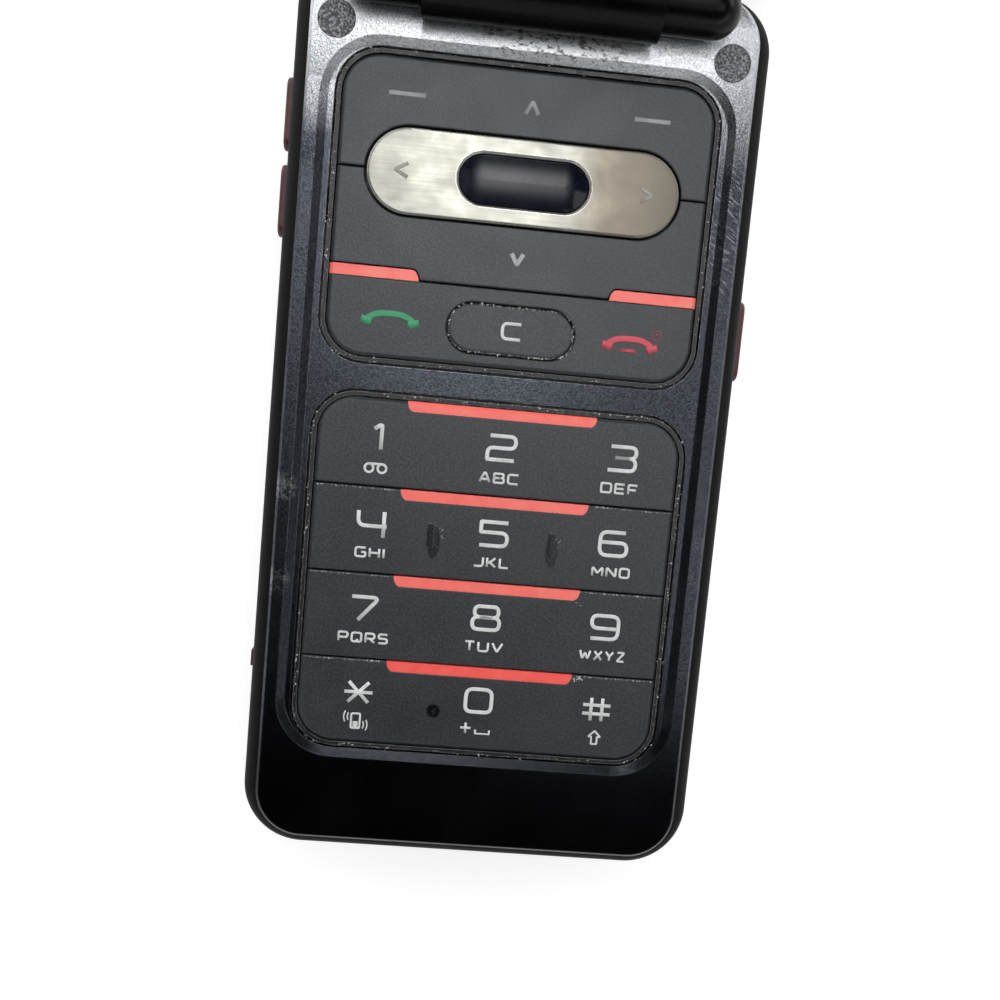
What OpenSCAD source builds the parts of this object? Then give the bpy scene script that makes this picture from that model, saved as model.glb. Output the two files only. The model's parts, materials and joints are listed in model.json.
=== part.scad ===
// Rugged flip phone, open, as an assembly of separate pieces.
// Millimetres. X to the user's right, Y towards the hinge, Z out of the keypad.
// The origin is at the centre of the flat underside of the lower half.

/* [Whole phone] */
// Width over the side bands
body_w = 52; // [49:0.5:56]
// Length of the lower half
body_l = 99.6; // [97:0.2:108]
// Thickness of the lower half
base_h = 12.3; // [12.2:0.1:13.6]
// Thickness of the lid
lid_h = 9.8; // [9.6:0.1:11.5]
// Gap between the closed halves
lid_gap = 0.5; // [0.45:0.05:0.8]
// Angle between the closed and the open lid
open_angle = 160; // [120:1:162]
// Corner radius in plan at the keypad end
corner_low = 7; // [6.5:0.5:9]
// Corner radius in plan at the hinge end
corner_high = 6.1; // [5.8:0.1:7]
// Rounding of the back edges
back_round = 3; // [2:0.1:3.4]
// Rounding of the side band's upper edge
band_round = 1.5; // [0.8:0.1:1.6]
// How far the side band stays below the painted frame
band_drop = 0.7; // [0.4:0.1:1]

/* [Keypad frame] */
// Width of the black side band seen beside the painted frame
band_w = 1.6; // [1.2:0.1:2]
// Width of the flat outer rim of the painted frame
rim_w = 1.6; // [1.2:0.1:2.2]
// Thickness of the painted frame
frame_t = 1.5; // [1.3:0.1:1.9]
// Depth of the shallow recess round both keypads
recess_d = 0.5; // [0.3:0.1:0.7]
// Width of the slope down into the recess
slope_w = 0.9; // [0.6:0.1:1.1]
// Flat ledge between the slope and the sides of the keypad openings
ledge_w = 0.65; // [0.4:0.05:1]
// The same ledge at the ends of the openings
end_ledge_w = 0.05; // [0.05:0.05:0.4]
// Chin between the low end and the recess
chin_l = 11.05; // [10:0.05:14]
// Flat strip between the two keypad openings
bridge_l = 2.75; // [2:0.05:4]
// Radius of the openings' corners
opening_r = 5; // [4.5:0.1:6]
// Wall of the case round its hollow
wall_t = 1.4; // [1.2:0.1:1.6]

/* [Keys] */
// Height of one row of number keys
row_l = 9.85; // [9:0.05:11]
// Height of the row with the call and end keys
call_l = 8.6; // [8:0.1:10]
// From the top of the call row to the middle of the steel plate
plate_up = 11.65; // [10:0.05:13]
// From the middle of the steel plate to the top of the navigation keys
soft_l = 12.05; // [10:0.05:14]
// Length of the steel plate
plate_w = 34.4; // [32:0.1:36]
// Height of the steel plate in plan
plate_l = 9.3; // [8:0.1:10]
// Length of the centre key
ok_w = 14.2; // [12:0.1:16]
// Height of the centre key in plan
ok_l = 5.3; // [4.6:0.1:6]
// Length of the clear key
clear_w = 13.9; // [12:0.1:15]
// Height of the clear key in plan
clear_l = 5.3; // [4.6:0.1:5.8]
// Gap round the rubber lip that seals each opening
seal_gap = 0.3; // [0.2:0.05:0.4]
// Thickness of the rubber lip
seal_t = 0.45; // [0.35:0.05:0.6]
// Gap between a key and what stands beside it
key_gap = 0.1; // [0.08:0.01:0.15]
// Bevel round the key fields
key_bevel = 0.4; // [0.2:0.05:0.5]
// Thickness of the key caps
key_t = 1.5; // [1.3:0.1:1.7]
// How far the key caps stay below the frame's rim
key_low = 0.1; // [0:0.05:0.3]
// How far a key goes down
key_travel = 0.25; // [0.2:0.05:0.3]
// How much wider than a third of the keypad the key columns are
column_more = 0.1; // [0:0.05:0.3]
// How far the steel plate stands above the key caps
plate_high = 0.2; // [0.1:0.05:0.25]
// Length of the red inlay of a number row
inlay_w = 21.3; // [16:0.1:26]
// Width of the red inlays
inlay_l = 1.2; // [0.8:0.05:1.6]
// Run of the red inlays' rounded ends
inlay_run = 0.8; // [0.5:0.05:1.5]
// Thickness of the red inlays
inlay_t = 0.8; // [0.5:0.05:1]
// Length of the red inlays over the call and end keys
ear_w = 9; // [7:0.1:11]
// Height of the raised ribs beside the five
nib_h = 0.2; // [0.1:0.05:0.25]
// Length of those ribs
nib_l = 3; // [2:0.1:4]
// Width of those ribs
nib_w = 0.9; // [0.7:0.05:1.2]
// Broken edge between one key cap and the next
edge_break = 0.12; // [0.05:0.01:0.2]
// How far the centre key's rim lies below its crown
ok_crown = 0.4; // [0.2:0.05:0.5]
// Chamfer of the hole for the centre key
ok_flare = 0.25; // [0.1:0.05:0.3]

/* [Hinge] */
// From the low end to the hinge's axis
axis_up = 95.9; // [95.5:0.1:96.5]
// Height of the hinge's axis over the painted frame
axis_high = 3.3; // [3.2:0.1:3.6]
// Radius over the cover of the lid's barrel
barrel_r = 3.9; // [3.7:0.1:4]
// Thickness of the glossy cover round the barrel
barrel_cover_t = 0.6; // [0.4:0.05:0.7]
// Length of the lid's barrel
barrel_w = 24.9; // [22:0.1:27]
// Radius of the knuckles on the lower half
knuckle_r = 2.95; // [2.7:0.05:3.1]
// Length over both knuckles
knuckle_span = 41.9; // [40:0.1:43]
// Gap at each end of the barrel
barrel_gap = 0.15; // [0.1:0.05:0.3]
// Gap between the barrel and its trough
trough_gap = 0.35; // [0.25:0.05:0.45]
// Radius of the turning shafts
shaft_r = 1.3; // [1:0.05:1.5]
// Radial clearance of the shafts
shaft_fit = 0.05; // [0.03:0.01:0.08]
// Radius of the hinge cartridge
cartridge_r = 2.6; // [2.3:0.05:2.9]
// Length of the hinge cartridge
cartridge_w = 13; // [10:0.5:14]

/* [Screws and side parts] */
// Radius of the round screw caps
cap_r = 1.97; // [1.7:0.01:2.2]
// From the axis of symmetry to a screw cap
cap_x = 21.5; // [21:0.1:21.8]
// From the low end to the screw caps
cap_up = 91.95; // [91.5:0.05:92.2]
// Radius of a screw's thread
screw_r = 0.8; // [0.6:0.05:0.9]
// Radius of a screw's head
head_r = 1.4; // [1.2:0.05:1.6]
// Height of a screw's head
head_h = 0.8; // [0.6:0.05:1]
// From the low end to the screws in the chin
chin_screw_up = 6.6; // [6.2:0.1:7.5]
// From the inside of the side wall to the screws in the chin
chin_screw_in = 3.8; // [3.4:0.1:5]
// From the inside of the side wall to the screws under the bridge
bridge_screw_in = 3.4; // [3.2:0.1:4]
// From the low end to the middle of the upper volume key
volume_up_at = 82.4; // [81:0.1:84]
// From the low end to the middle of the lower volume key
volume_down_at = 73; // [71:0.1:74]
// Length of a volume key
volume_l = 7.9; // [6:0.1:8.5]
// From the low end to the middle of the right side key
side_key_at = 62.4; // [58:0.1:66]
// Length of the right side key
side_key_l = 9.1; // [7:0.1:12]
// How far the side keys stand out
side_out = 0.7; // [0.5:0.05:0.9]
// How far a side key goes in
side_travel = 0.3; // [0.2:0.05:0.4]
// Height of the side keys
side_h = 2.4; // [2:0.1:2.6]
// From the low end to the middle of the port cover
port_at = 20.6; // [19:0.1:21.5]
// Length of the port cover
port_l = 12.4; // [11.8:0.1:13.5]
// Height of the port cover
port_h = 5; // [4.6:0.1:5.2]

/* [Battery and inside] */
// Width of the battery
battery_w = 34.2; // [30:0.1:35]
// Length of the battery
battery_l = 49.5; // [46:0.5:50]
// Thickness of the battery
battery_t = 5.8; // [4.8:0.1:5.9]
// From the low end to the battery
battery_up = 24.6; // [24.4:0.1:26]
// Thickness of the battery door
door_t = 1.2; // [1:0.05:1.3]
// From the low end to the top of the battery door
door_l = 80; // [79:0.5:81]
// How far the battery door slides before it lifts off
door_travel = 2.5; // [1.5:0.1:2.8]
// Gap round parts that are laid in by hand
loose = 0.15; // [0.1:0.01:0.2]
// Thickness of the main circuit board
board_t = 0.8; // [0.6:0.05:0.9]

/* [Lid] */
// How far the lid stays inside the lower half on each side
lid_step = 0.3; // [0:0.05:0.6]
// Radius of the lid's free corners
lid_corner = 6.8; // [6.5:0.1:8]
// Rounding of the lid's outer edges
lid_round = 2.8; // [2:0.1:3.2]
// Rounding of the two edges where the lid's halves meet, which makes the parting line
seam_r = 0.18; // [0.05:0.01:0.3]
// Thickness of the lid's inner half
inner_t = 4.2; // [4:0.1:4.6]
// Width of the main window
window_w = 40.6; // [38:0.1:42]
// Length of the main window
window_l = 57; // [52:0.5:60]
// From the low end, with the lid closed, to the main window
window_up = 15.5; // [14:0.5:18]
// Thickness of both windows
window_t = 0.8; // [0.6:0.05:0.9]
// Width of the display module
display_w = 37.6; // [34:0.1:38.4]
// Length of the display module
display_l = 51; // [46:0.5:53]
// Thickness of the display module
display_t = 2.4; // [2:0.1:2.4]
// Wall of the lid
lid_wall = 1.3; // [1.1:0.1:1.5]
// Width of the outer window
outer_window_w = 31; // [26:0.5:34]
// Length of the outer window
outer_window_l = 27; // [22:0.5:28]
// From the low end, with the lid closed, to the outer window
outer_window_up = 42; // [40:0.5:46]
// Radius of the camera's ring
camera_r = 4.4; // [4:0.1:5]
// From the low end, with the lid closed, to the camera
camera_up = 79.5; // [78:0.1:81]
// From the lid's free end to its outer screws
lid_screw_low = 4.9; // [4.6:0.1:5.2]
// From the lid's hinge end to its inner screws
lid_screw_high = 5.3; // [4.8:0.1:6]
// From the lid's side to its screws
lid_screw_in = 5.6; // [5.2:0.1:6]
// From the lid's free end to the middle of the earpiece
ear_up = 7.9; // [7.4:0.1:8.2]
// Length of the earpiece's slot
ear_slot_w = 8.4; // [7:0.1:9.5]
// Width of the earpiece's slot
ear_slot_l = 1.6; // [1:0.1:1.8]

/* [Hidden] */
$fn = 64;

// Y of a place measured from the low end
function up(v) = v - body_l / 2;

// Depths in the lower half
frame_w = body_w - 2 * band_w;
frame_low = up(band_w * 0.8);
frame_high = up(body_l - 0.6);
frame_r = corner_low - band_w;
frame_top_r = corner_high - band_w * 0.6;
frame_z = base_h - frame_t;
recess_w = frame_w - 2 * rim_w;
recess_low = up(chin_l);
slope_z = base_h - recess_d;
opening_w = recess_w - 2 * (slope_w + ledge_w);
key_in = seal_gap + seal_t + key_gap;
key_w = opening_w - 2 * key_in;
key_r = opening_r - key_in;
column_w = key_w / 3 + column_more;
key_top = base_h - key_low;
key_z = key_top - key_t;

// Places of the keys, from the low end
num_low = chin_l + slope_w + end_ledge_w;
num_key_low = num_low + key_in;
num_key_high = num_key_low + 4 * row_l;
num_high = num_key_high + key_in;
nav_low = num_high + bridge_l;
nav_key_low = nav_low + key_in;
call_high = nav_key_low + call_l;
plate_mid = call_high + plate_up;
nav_key_high = plate_mid + soft_l;
nav_high = nav_key_high + key_in;
recess_high = up(nav_high + end_ledge_w + slope_w);
recess_r = opening_r + ledge_w + slope_w;
split_gap = key_gap * 1.6;
plate_mid_y = up(plate_mid);
clear_mid_y = up(nav_key_low + call_l / 2 - 0.15);

// Layers under the keys
mat_top = key_z - key_travel - 0.03;
mat_t = 0.6;
dome_top = mat_top - mat_t - 0.1;
dome_t = 0.15;
dome_h = 0.25;
board_top = dome_top - dome_h - dome_t;
board_z = board_top - board_t;
floor_z = board_z - 0.05;
floor_t = 1.1;
bay_top = floor_z - floor_t;
hollow_w = frame_w - 2 * wall_t;
hollow_low = frame_low + wall_t;
hollow_high = up(cap_up + 4.2);
hollow_r = frame_r - wall_t;
skirt_t = 0.9;
skirt_w = hollow_w - 0.3;
board_w = skirt_w - 2 * skirt_t - 0.3;
board_low = hollow_low + 0.6;
board_high = up(axis_up - barrel_r - 0.8);

// Battery bay and door
bay_w = battery_w + 2 * loose;
bay_low = up(battery_up - loose);
bay_high = up(battery_up + battery_l + loose);
battery_z = door_t + 0.15;
door_high = up(door_l);
door_rim = back_round + 0.3;
door_rim_w = 3.4;
door_gap = 0.12;
hook_x = 12;
hook_w = 4.8;
hook_l = door_travel - 1;

// Parts in the lower half: sizes, and places from the low end
sim_w = 25.6;
sim_l = 15.6;
sim_y = up(battery_up + battery_l - 19);
contact_w = 12;
contact_l = 3;
contact_gap = 0.7;
spring_w = 0.8;
spring_step = 2.8;
spk_w = 15;
spk_in = 4.5;
spk_x = hollow_w / 2 - spk_w / 2 - spk_in;
spk_l = 8.6;
spk_up = 83;
spk_y = up(spk_up);
spk_t = 3.1;
motor_up = 87.2;
motor_y = up(motor_up);
motor_r = 4;
motor_in = 8;
motor_x = motor_r + motor_in - hollow_w / 2;
motor_t = 2.7;
can_w = 18;
can_in = 4;
can_x = hollow_w / 2 - can_w / 2 - can_in;
can_gap = 5.3;
can_y = bay_high + contact_l + can_gap;
can_end = 0.5;
can_l = board_high - can_end - can_y;
can_h = 1.4;
ant_w = 30;
ant_up = 5.4;
ant_y = up(ant_up);
ant_l = 7.4;
mic_w = 4;
mic_l = 0.85;
mic_z = 5.6;
mic_h = 2.6;
slot_floor = door_t + 0.4;

// Hinge
axis_y = up(axis_up);
axis_z = base_h + axis_high;
shaft_in = 4.5;
knuckle_end = knuckle_span / 2 - knuckle_r;
knuckle_in = barrel_w / 2 + barrel_gap;
foot_l = 2 * knuckle_r - 1.8;
neck_low = 2;
flex_x = 2.2;
flex_w = 6.2;

// Screws
chin_screw_x = hollow_w / 2 - chin_screw_in;
bridge_screw_x = hollow_w / 2 - bridge_screw_in;
bridge_screw_y = up((num_high + nav_low) / 2);
boss_r = min(screw_r + 0.55, bridge_l / 2 - 0.02);
rear_head_z = 2.2;
cap_h = 0.7;

// Side parts
side_z = frame_z - 0.9 - side_h / 2;
side_flange = 0.7;
side_seat = body_w / 2 - 1.4;
port_z = 6.6;
port_y = up(port_at);
cover_t = 1.3;
pivot_y = up(port_at + port_l / 2 + cover_t / 2);
conn_w = 11.2;
conn_h = 3;
conn_d = 5;
conn_x = cover_t + 0.3 - body_w / 2;
switch_w = 3.2;
switch_h = 0.9;
switch_x = board_w / 2 - 0.7;

// Lid, closed
lid_w = body_w - 2 * lid_step;
lid_z = base_h + lid_gap;
lid_top = lid_z + lid_h;
lid_low = up(0.3);
lid_high = up(axis_up - barrel_r - 0.1);
lid_high_r = 3;
split_z = lid_z + inner_t;
window_y = up(window_up);
display_y = up(window_up + (window_l - display_l) / 2);
display_z = lid_z + window_t + 0.1;
lid_floor = split_z - 1.4;
mesh_top = 0.35;
lid_board_z = max(display_z + display_t, lid_floor + 0.6) + 0.15;
lid_board_t = 0.6;
lid_board_in = 4;
lid_board_r = 3;
outer_window_y = up(outer_window_up);
earpiece_y = lid_low + ear_up;
camera_y = up(camera_up);
lid_screw_l = 5.2;
bumper_r = 1.3;
bumper_in = 3.4;
bumper_up = 11.5;
magnet_up = 6;
magnet_x = 16;

// Colours
painted = "#3b3e46";
black = "#141415";
gloss = "#0a0a0c";
key_black = "#3c3d40";
red = "#e2473d";
dark_red = "#5e1a22";
steel = "#c9c6bc";
board_green = "#1f5a3c";
gold = "#c9a24a";
metal = "#b4b6b8";
rubber = "#1b1b1c";

// A quarter of a disc in the first quadrant
module quarter(r) {
    intersection() {
        circle(r = r);
        square(r);
    }
}

// A plan outline with one radius at each end
module plan(w, y0, y1, r0, r1) {
    translate([-w / 2, y0 + r0]) square([w, y1 - y0 - r0 - r1]);
    translate([-w / 2 + r0, y0]) square([w - 2 * r0, r0]);
    translate([-w / 2 + r1, y1 - r1]) square([w - 2 * r1, r1]);
    for (side = [-1, 1]) {
        translate([side * (w / 2 - r0), y0 + r0]) circle(r = r0);
        translate([side * (w / 2 - r1), y1 - r1]) circle(r = r1);
    }
}

// A flat plate with that outline
module plate(w, y0, y1, r0, r1, z0, z1) {
    translate([0, 0, z0]) linear_extrude(z1 - z0) plan(w, y0, y1, r0, r1);
}

// A profile carried round that outline: x is 0 at the edge and negative inwards, y is height
module rim(w, y0, y1, r0, r1) {
    for (side = [0, 1]) mirror([side, 0, 0]) {
        translate([w / 2 - r1, y1 - r1, 0])
            rotate_extrude(angle = 90) translate([r1, 0]) children();
        translate([w / 2 - r0, y0 + r0, 0]) rotate([0, 0, -90])
            rotate_extrude(angle = 90) translate([r0, 0]) children();
        if (y1 - y0 > r0 + r1 + 0.01)
            translate([w / 2, y1 - r1, 0]) rotate([90, 0, 0])
                linear_extrude(y1 - y0 - r0 - r1) children();
    }
    translate([r1 - w / 2, y1, 0]) rotate([90, 0, 90])
        linear_extrude(w - 2 * r1) children();
    translate([r0 - w / 2, y0, 0]) rotate([90, 0, 90])
        linear_extrude(w - 2 * r0) mirror([1, 0]) children();
}

// The profile of an edge between two heights, with its outer corners rounded
module edge_profile(depth, z0, z1, e0, e1) {
    translate([-depth, z0 + e0]) square([depth, z1 - z0 - e0 - e1]);
    if (e0 > 0) {
        translate([-depth, z0]) square([depth - e0, e0]);
        translate([-e0, z0 + e0]) mirror([0, 1]) quarter(e0);
    }
    if (e1 > 0) {
        translate([-depth, z1 - e1]) square([depth - e1, e1]);
        translate([-e1, z1 - e1]) quarter(e1);
    }
}

// A slab with rounded outer edges
module slab(w, y0, y1, r0, r1, z0, z1, e0, e1) {
    depth = max(e0, e1) + 0.4;
    rim(w, y0, y1, r0, r1) edge_profile(depth, z0, z1, e0, e1);
    plate(w - 2 * depth, y0 + depth, y1 - depth, r0 - depth, r1 - depth, z0, z1);
}

// The slope cut all round an outline: full width at z1, in by run at z1 - drop
module slope_cut(w, y0, y1, r0, r1, run, drop, z1) {
    rim(w, y0, y1, r0, r1)
        polygon([[-run, z1 - drop], [0, z1], [0, z1 + 1], [-run, z1 + 1]]);
}

// A bevel taken off the top edge of an outline
module bevel_cut(w, y0, y1, r0, r1, b, z1) {
    rim(w, y0, y1, r0, r1)
        polygon([[-b, z1], [0, z1 - b], [0.2, z1 - b], [0.2, z1 + 0.5], [-b, z1 + 0.5]]);
}

// A bar with round ends, lying along X
module bar(w, l, z0, z1) {
    translate([0, 0, z0]) linear_extrude(z1 - z0) {
        translate([-(w - l) / 2, -l / 2]) square([w - l, l]);
        for (side = [-1, 1]) translate([side * (w - l) / 2, 0]) circle(r = l / 2);
    }
}

// A bar with round ends and a rounded top edge
module capped_bar(w, l, z0, z1, r) {
    difference() {
        bar(w, l, z0, z1);
        for (side = [0, 1]) mirror([side, 0, 0])
            translate([(w - l) / 2, 0, 0]) rotate([0, 0, -90]) rotate_extrude(angle = 180)
                translate([l / 2, z1]) corner_cut(r);
        for (side = [0, 1]) mirror([0, side, 0])
            translate([-(w - l) / 2, l / 2, z1]) rotate([90, 0, 90]) linear_extrude(w - l)
                corner_cut(r);
    }
}

// What is taken off an upper right corner at the origin to round it
module corner_cut(r) {
    difference() {
        translate([-r, -r]) square([r + 0.2, r + 0.5]);
        translate([-r, -r]) circle(r = r);
    }
}

// A hole for such a bar, whose upper edge is broken outwards by b
module flared_bar(w, l, z0, z1, b) {
    bar(w, l, z0, z1 + 1);
    for (side = [-1, 1]) translate([side * (w - l) / 2, 0, z1 - b])
        cylinder(r1 = l / 2, r2 = l / 2 + 2 * b, h = 2 * b);
    translate([-(w - l) / 2, 0, z1 - b]) rotate([90, 0, 90]) linear_extrude(w - l)
        polygon([[-l / 2, 0], [l / 2, 0], [l / 2 + 2 * b, 2 * b], [-l / 2 - 2 * b, 2 * b]]);
}

// A bar with round ends and a crowned top: its rim lies lower by drop and is rounded by r
module crowned_bar(w, l, z0, z1, drop, r) {
    half = l / 2 - r;
    ball = (half * half + (drop - r) * (drop - r)) / (2 * (drop - r));
    for (side = [0, 1]) mirror([side, 0, 0]) {
        translate([(w - l) / 2, 0, 0]) rotate([0, 0, -90]) rotate_extrude(angle = 180)
            crown_half(l, z0, z1, drop, r, ball);
        translate([-(w - l) / 2, 0, 0]) mirror([0, side, 0]) rotate([90, 0, 90])
            linear_extrude(w - l) crown_half(l, z0, z1, drop, r, ball);
    }
}

// Half of that bar's profile, with X from its middle to its side
module crown_half(l, z0, z1, drop, r, ball) {
    intersection() {
        translate([0, z0]) square([l / 2, z1 - z0]);
        union() {
            translate([0, z1 - ball]) circle(r = ball, $fn = 360);
            translate([l / 2 - r, z1 - drop]) circle(r = r);
            translate([0, z0]) square([l / 2, z1 - drop - z0]);
        }
        union() {
            translate([0, z0]) square([l / 2 - r, z1]);
            translate([0, z0]) square([l / 2, z1 - drop - z0]);
            translate([l / 2 - r, z1 - drop]) circle(r = r);
        }
    }
}

// A round hole or pillar between two heights
module post(x, y, r, z0, z1) {
    translate([x, y, z0]) cylinder(r = r, h = z1 - z0);
}

// A cylinder along X
module along(x0, x1, r, y = 0, z = 0) {
    translate([x0, y, z]) rotate([0, 90, 0]) cylinder(r = r, h = x1 - x0);
}

// What is drawn closed is shown open
module opened() {
    translate([0, axis_y, axis_z]) rotate([-open_angle, 0, 0])
        translate([0, -axis_y, -axis_z]) children();
}

// The four places of the screws driven from the back
module at_rear_screws() {
    for (side = [-1, 1]) {
        translate([side * chin_screw_x, up(chin_screw_up), 0]) children();
        translate([side * bridge_screw_x, bridge_screw_y, 0]) children();
    }
}

// The two places of the screws under the round caps
module at_caps() {
    for (side = [-1, 1]) translate([side * cap_x, up(cap_up), 0]) children();
}

// The places of the three side switches, each with X pointing out of the case
module at_switches() {
    translate([0, up(side_key_at), 0]) children();
    mirror([1, 0, 0]) {
        translate([0, up(volume_up_at), 0]) children();
        translate([0, up(volume_down_at), 0]) children();
    }
}

// The painted frame: rim, slope, recess and the two keypad openings
module front_case() {
    color(painted) difference() {
        union() {
            plate(frame_w, frame_low, frame_high, frame_r, frame_top_r, frame_z, base_h);
            difference() {
                plate(skirt_w, hollow_low + 0.15, hollow_high - 0.15, hollow_r - 0.15,
                    hollow_r - 0.15, board_top + 0.1, frame_z);
                plate(skirt_w - 2 * skirt_t, hollow_low + 0.15 + skirt_t,
                    hollow_high - 0.15 - skirt_t, hollow_r - 0.15 - skirt_t,
                    hollow_r - 0.15 - skirt_t, board_top - 1, frame_z);
                at_switches() translate([switch_x, -switch_w / 2 - 0.1, 0])
                    cube([4, switch_w + 0.2, board_top + switch_h + 0.1]);
            }
            at_rear_screws() post(0, 0, boss_r, floor_z + 0.02, frame_z);
            at_caps() post(0, 0, cap_r + 0.3, floor_z + 0.02, frame_z);
        }
        plate(recess_w - 2 * slope_w, recess_low + slope_w, recess_high - slope_w,
            recess_r - slope_w, recess_r - slope_w, slope_z, base_h + 1);
        slope_cut(recess_w, recess_low, recess_high, recess_r, recess_r, slope_w, recess_d,
            base_h);
        plate(opening_w, up(num_low), up(num_high), opening_r, opening_r, 0, base_h + 1);
        plate(opening_w, up(nav_low), up(nav_high), opening_r, opening_r, 0, base_h + 1);
        along(-knuckle_in, knuckle_in, barrel_r + trough_gap, axis_y, axis_z);
        bevel_cut(frame_w, frame_low, frame_high, frame_r, frame_top_r, 0.3, base_h);
        at_caps() {
            translate([0, 0, base_h - cap_h - 0.05]) cylinder(r = cap_r + 0.05, h = 2);
            translate([0, 0, base_h - cap_h - head_h - 0.1]) cylinder(r = head_r + 0.1, h = 2);
            cylinder(r = screw_r + 0.05, h = base_h);
        }
        at_rear_screws() cylinder(r = screw_r, h = slope_z - 0.4);
    }
}

// The lower case with the soft side bands, the battery bay and the board's seat
module rear_case() {
    color(rubber) difference() {
        slab(body_w, up(0), up(body_l), corner_low, corner_high, 0, base_h - band_drop,
            back_round, band_round);
        plate(frame_w + 0.1, frame_low - 0.05, frame_high + 0.05, frame_r, frame_top_r,
            frame_z, base_h);
        plate(hollow_w, hollow_low, hollow_high, hollow_r, hollow_r, floor_z, base_h);
        translate([-bay_w / 2, bay_low, -1]) cube([bay_w, bay_high - bay_low, bay_top + 1]);
        door_space();
        translate([-sim_w / 2 - loose, sim_y - loose, bay_top - 1])
            cube([sim_w + 2 * loose, sim_l + 2 * loose, 4]);
        translate([-contact_w / 2 - loose, bay_high - 1, bay_top - 3.4])
            cube([contact_w + 2 * loose, 1 + contact_l + loose, 3.4 + floor_t + 1]);
        side_key_space(-1, volume_up_at, volume_l);
        side_key_space(-1, volume_down_at, volume_l);
        side_key_space(1, side_key_at, side_key_l);
        port_space();
        upper_bays();
        at_rear_screws() {
            translate([0, 0, -1]) cylinder(r = screw_r + 0.1, h = base_h);
            translate([0, 0, -1]) cylinder(r = head_r + 0.1, h = rear_head_z + 1 + head_h);
        }
        at_caps() {
            post(0, 0, screw_r, 4, base_h);
            post(0, 0, cap_r + 0.35, floor_z, base_h);
        }
        translate([0, up(-1), mic_z]) rotate([-90, 0, 0]) cylinder(r = 0.5, h = 6);
    }
}

// Everything the door takes up, with its gap
module door_space() {
    difference() {
        translate([-body_w, up(-5), -1])
            cube([2 * body_w, door_l + 5 + door_gap, door_rim + door_gap + 1]);
        plate(body_w - 2 * door_rim_w, up(door_rim_w), up(door_l + 20), corner_low - door_rim_w,
            1, door_t + door_gap, door_rim + 2);
    }
    for (side = [-1, 1]) translate([side * hook_x - hook_w / 2 - 0.1, door_high - 1, door_t - 0.6])
        cube([hook_w + 0.2, 1.5 + hook_l, 0.6 + door_gap]);
}

// The lower back cover, which slides off towards the low end
module battery_door() {
    color(black) {
        difference() {
            slab(body_w, up(0), up(body_l), corner_low, corner_high, 0, door_rim, back_round, 0);
            translate([-body_w, door_high, -1]) cube([2 * body_w, body_l, base_h]);
            plate(body_w - 2 * (door_rim_w - door_gap), up(door_rim_w - door_gap),
                up(door_l + 5), corner_low - door_rim_w, 1, door_t, base_h);
            for (i = [0:3]) translate([-7 + i, up(door_l - 10 + 1.6 * i), -0.1])
                cube([14 - 2 * i, 0.7, 0.35]);
        }
        for (side = [-1, 1]) translate([side * hook_x - hook_w / 2, door_high - 0.5, door_t - 0.5])
            cube([hook_w, 0.5 + hook_l, 0.5]);
    }
}

// The battery, with a finger edge at its low end
module battery() {
    color("#2c2d30") translate([0, 0, battery_z]) difference() {
        slab(battery_w, up(battery_up), up(battery_up + battery_l), 1.6, 1.6, 0, battery_t,
            0.5, 0.5);
        translate([-5, up(battery_up) - 0.5, -0.1]) cube([10, 1.3, 1.2]);
    }
}

// Four gold springs in a block that press on the battery's end
module battery_contacts() {
    z0 = bay_top - 3.2;
    color(gold) {
        translate([-contact_w / 2, bay_high + contact_gap, z0])
            cube([contact_w, contact_l - contact_gap, floor_z - z0]);
        for (i = [0:3]) translate([(i - 1.5) * spring_step - spring_w / 2,
            bay_high - loose + 0.02, z0 + 0.8])
            cube([spring_w, contact_gap + 0.15 + loose, 1.6]);
    }
}

// The card holder that looks into the bay through a window in its ceiling
module sim_holder() {
    color(metal) difference() {
        translate([-sim_w / 2, sim_y, bay_top + 0.1]) cube([sim_w, sim_l, floor_t - 0.06]);
        translate([-sim_w / 2 + 2.4, sim_y - 0.1, bay_top - 0.1])
            cube([sim_w - 4.8, sim_l - 2.4, 0.9]);
    }
}

// Room for the parts above the battery and below it
module upper_bays() {
    translate([spk_x - spk_w / 2 - loose, spk_y - loose, slot_floor])
        cube([spk_w + 2 * loose, spk_l + 2 * loose, base_h]);
    for (i = [-2:2]) translate([spk_x - 0.5 + 2 * i, spk_y + 1.6, -1])
        cube([1, spk_l - 3.2, slot_floor + 2]);
    post(motor_x, motor_y, motor_r + loose, slot_floor, base_h);
    for (side = [-1, 1])
        translate([side * can_x - can_w / 2 - loose, can_y - loose, floor_z - can_h - 0.1])
            cube([can_w + 2 * loose, can_l + 2 * loose, can_h + 1]);
    translate([-ant_w / 2 - loose, ant_y - loose, slot_floor])
        cube([ant_w + 2 * loose, ant_l + 2 * loose, base_h]);
    translate([-mic_w / 2 - loose, ant_y - mic_l - 2 * loose, mic_z - mic_h / 2 - 0.1])
        cube([mic_w + 2 * loose, mic_l + 2 * loose, base_h]);
}

// The loudspeaker behind its slots
module loudspeaker() {
    color(gloss) difference() {
        translate([spk_x - spk_w / 2, spk_y, slot_floor + 0.02]) cube([spk_w, spk_l, spk_t]);
        translate([spk_x, spk_y + spk_l / 2, 0])
            bar(spk_w - 3, spk_l - 3, slot_floor - 0.1, slot_floor + 0.3);
    }
    color(metal) translate([spk_x - 3, spk_y + spk_l / 2 - 2, slot_floor + spk_t])
        cube([6, 4, 0.2]);
}

// The shaking motor, a flat round one
module vibration_motor() {
    color(metal) {
        post(motor_x, motor_y, motor_r, slot_floor + 0.02, slot_floor + motor_t);
        post(motor_x, motor_y, 1, slot_floor + motor_t, slot_floor + motor_t + 0.2);
    }
}

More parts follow.
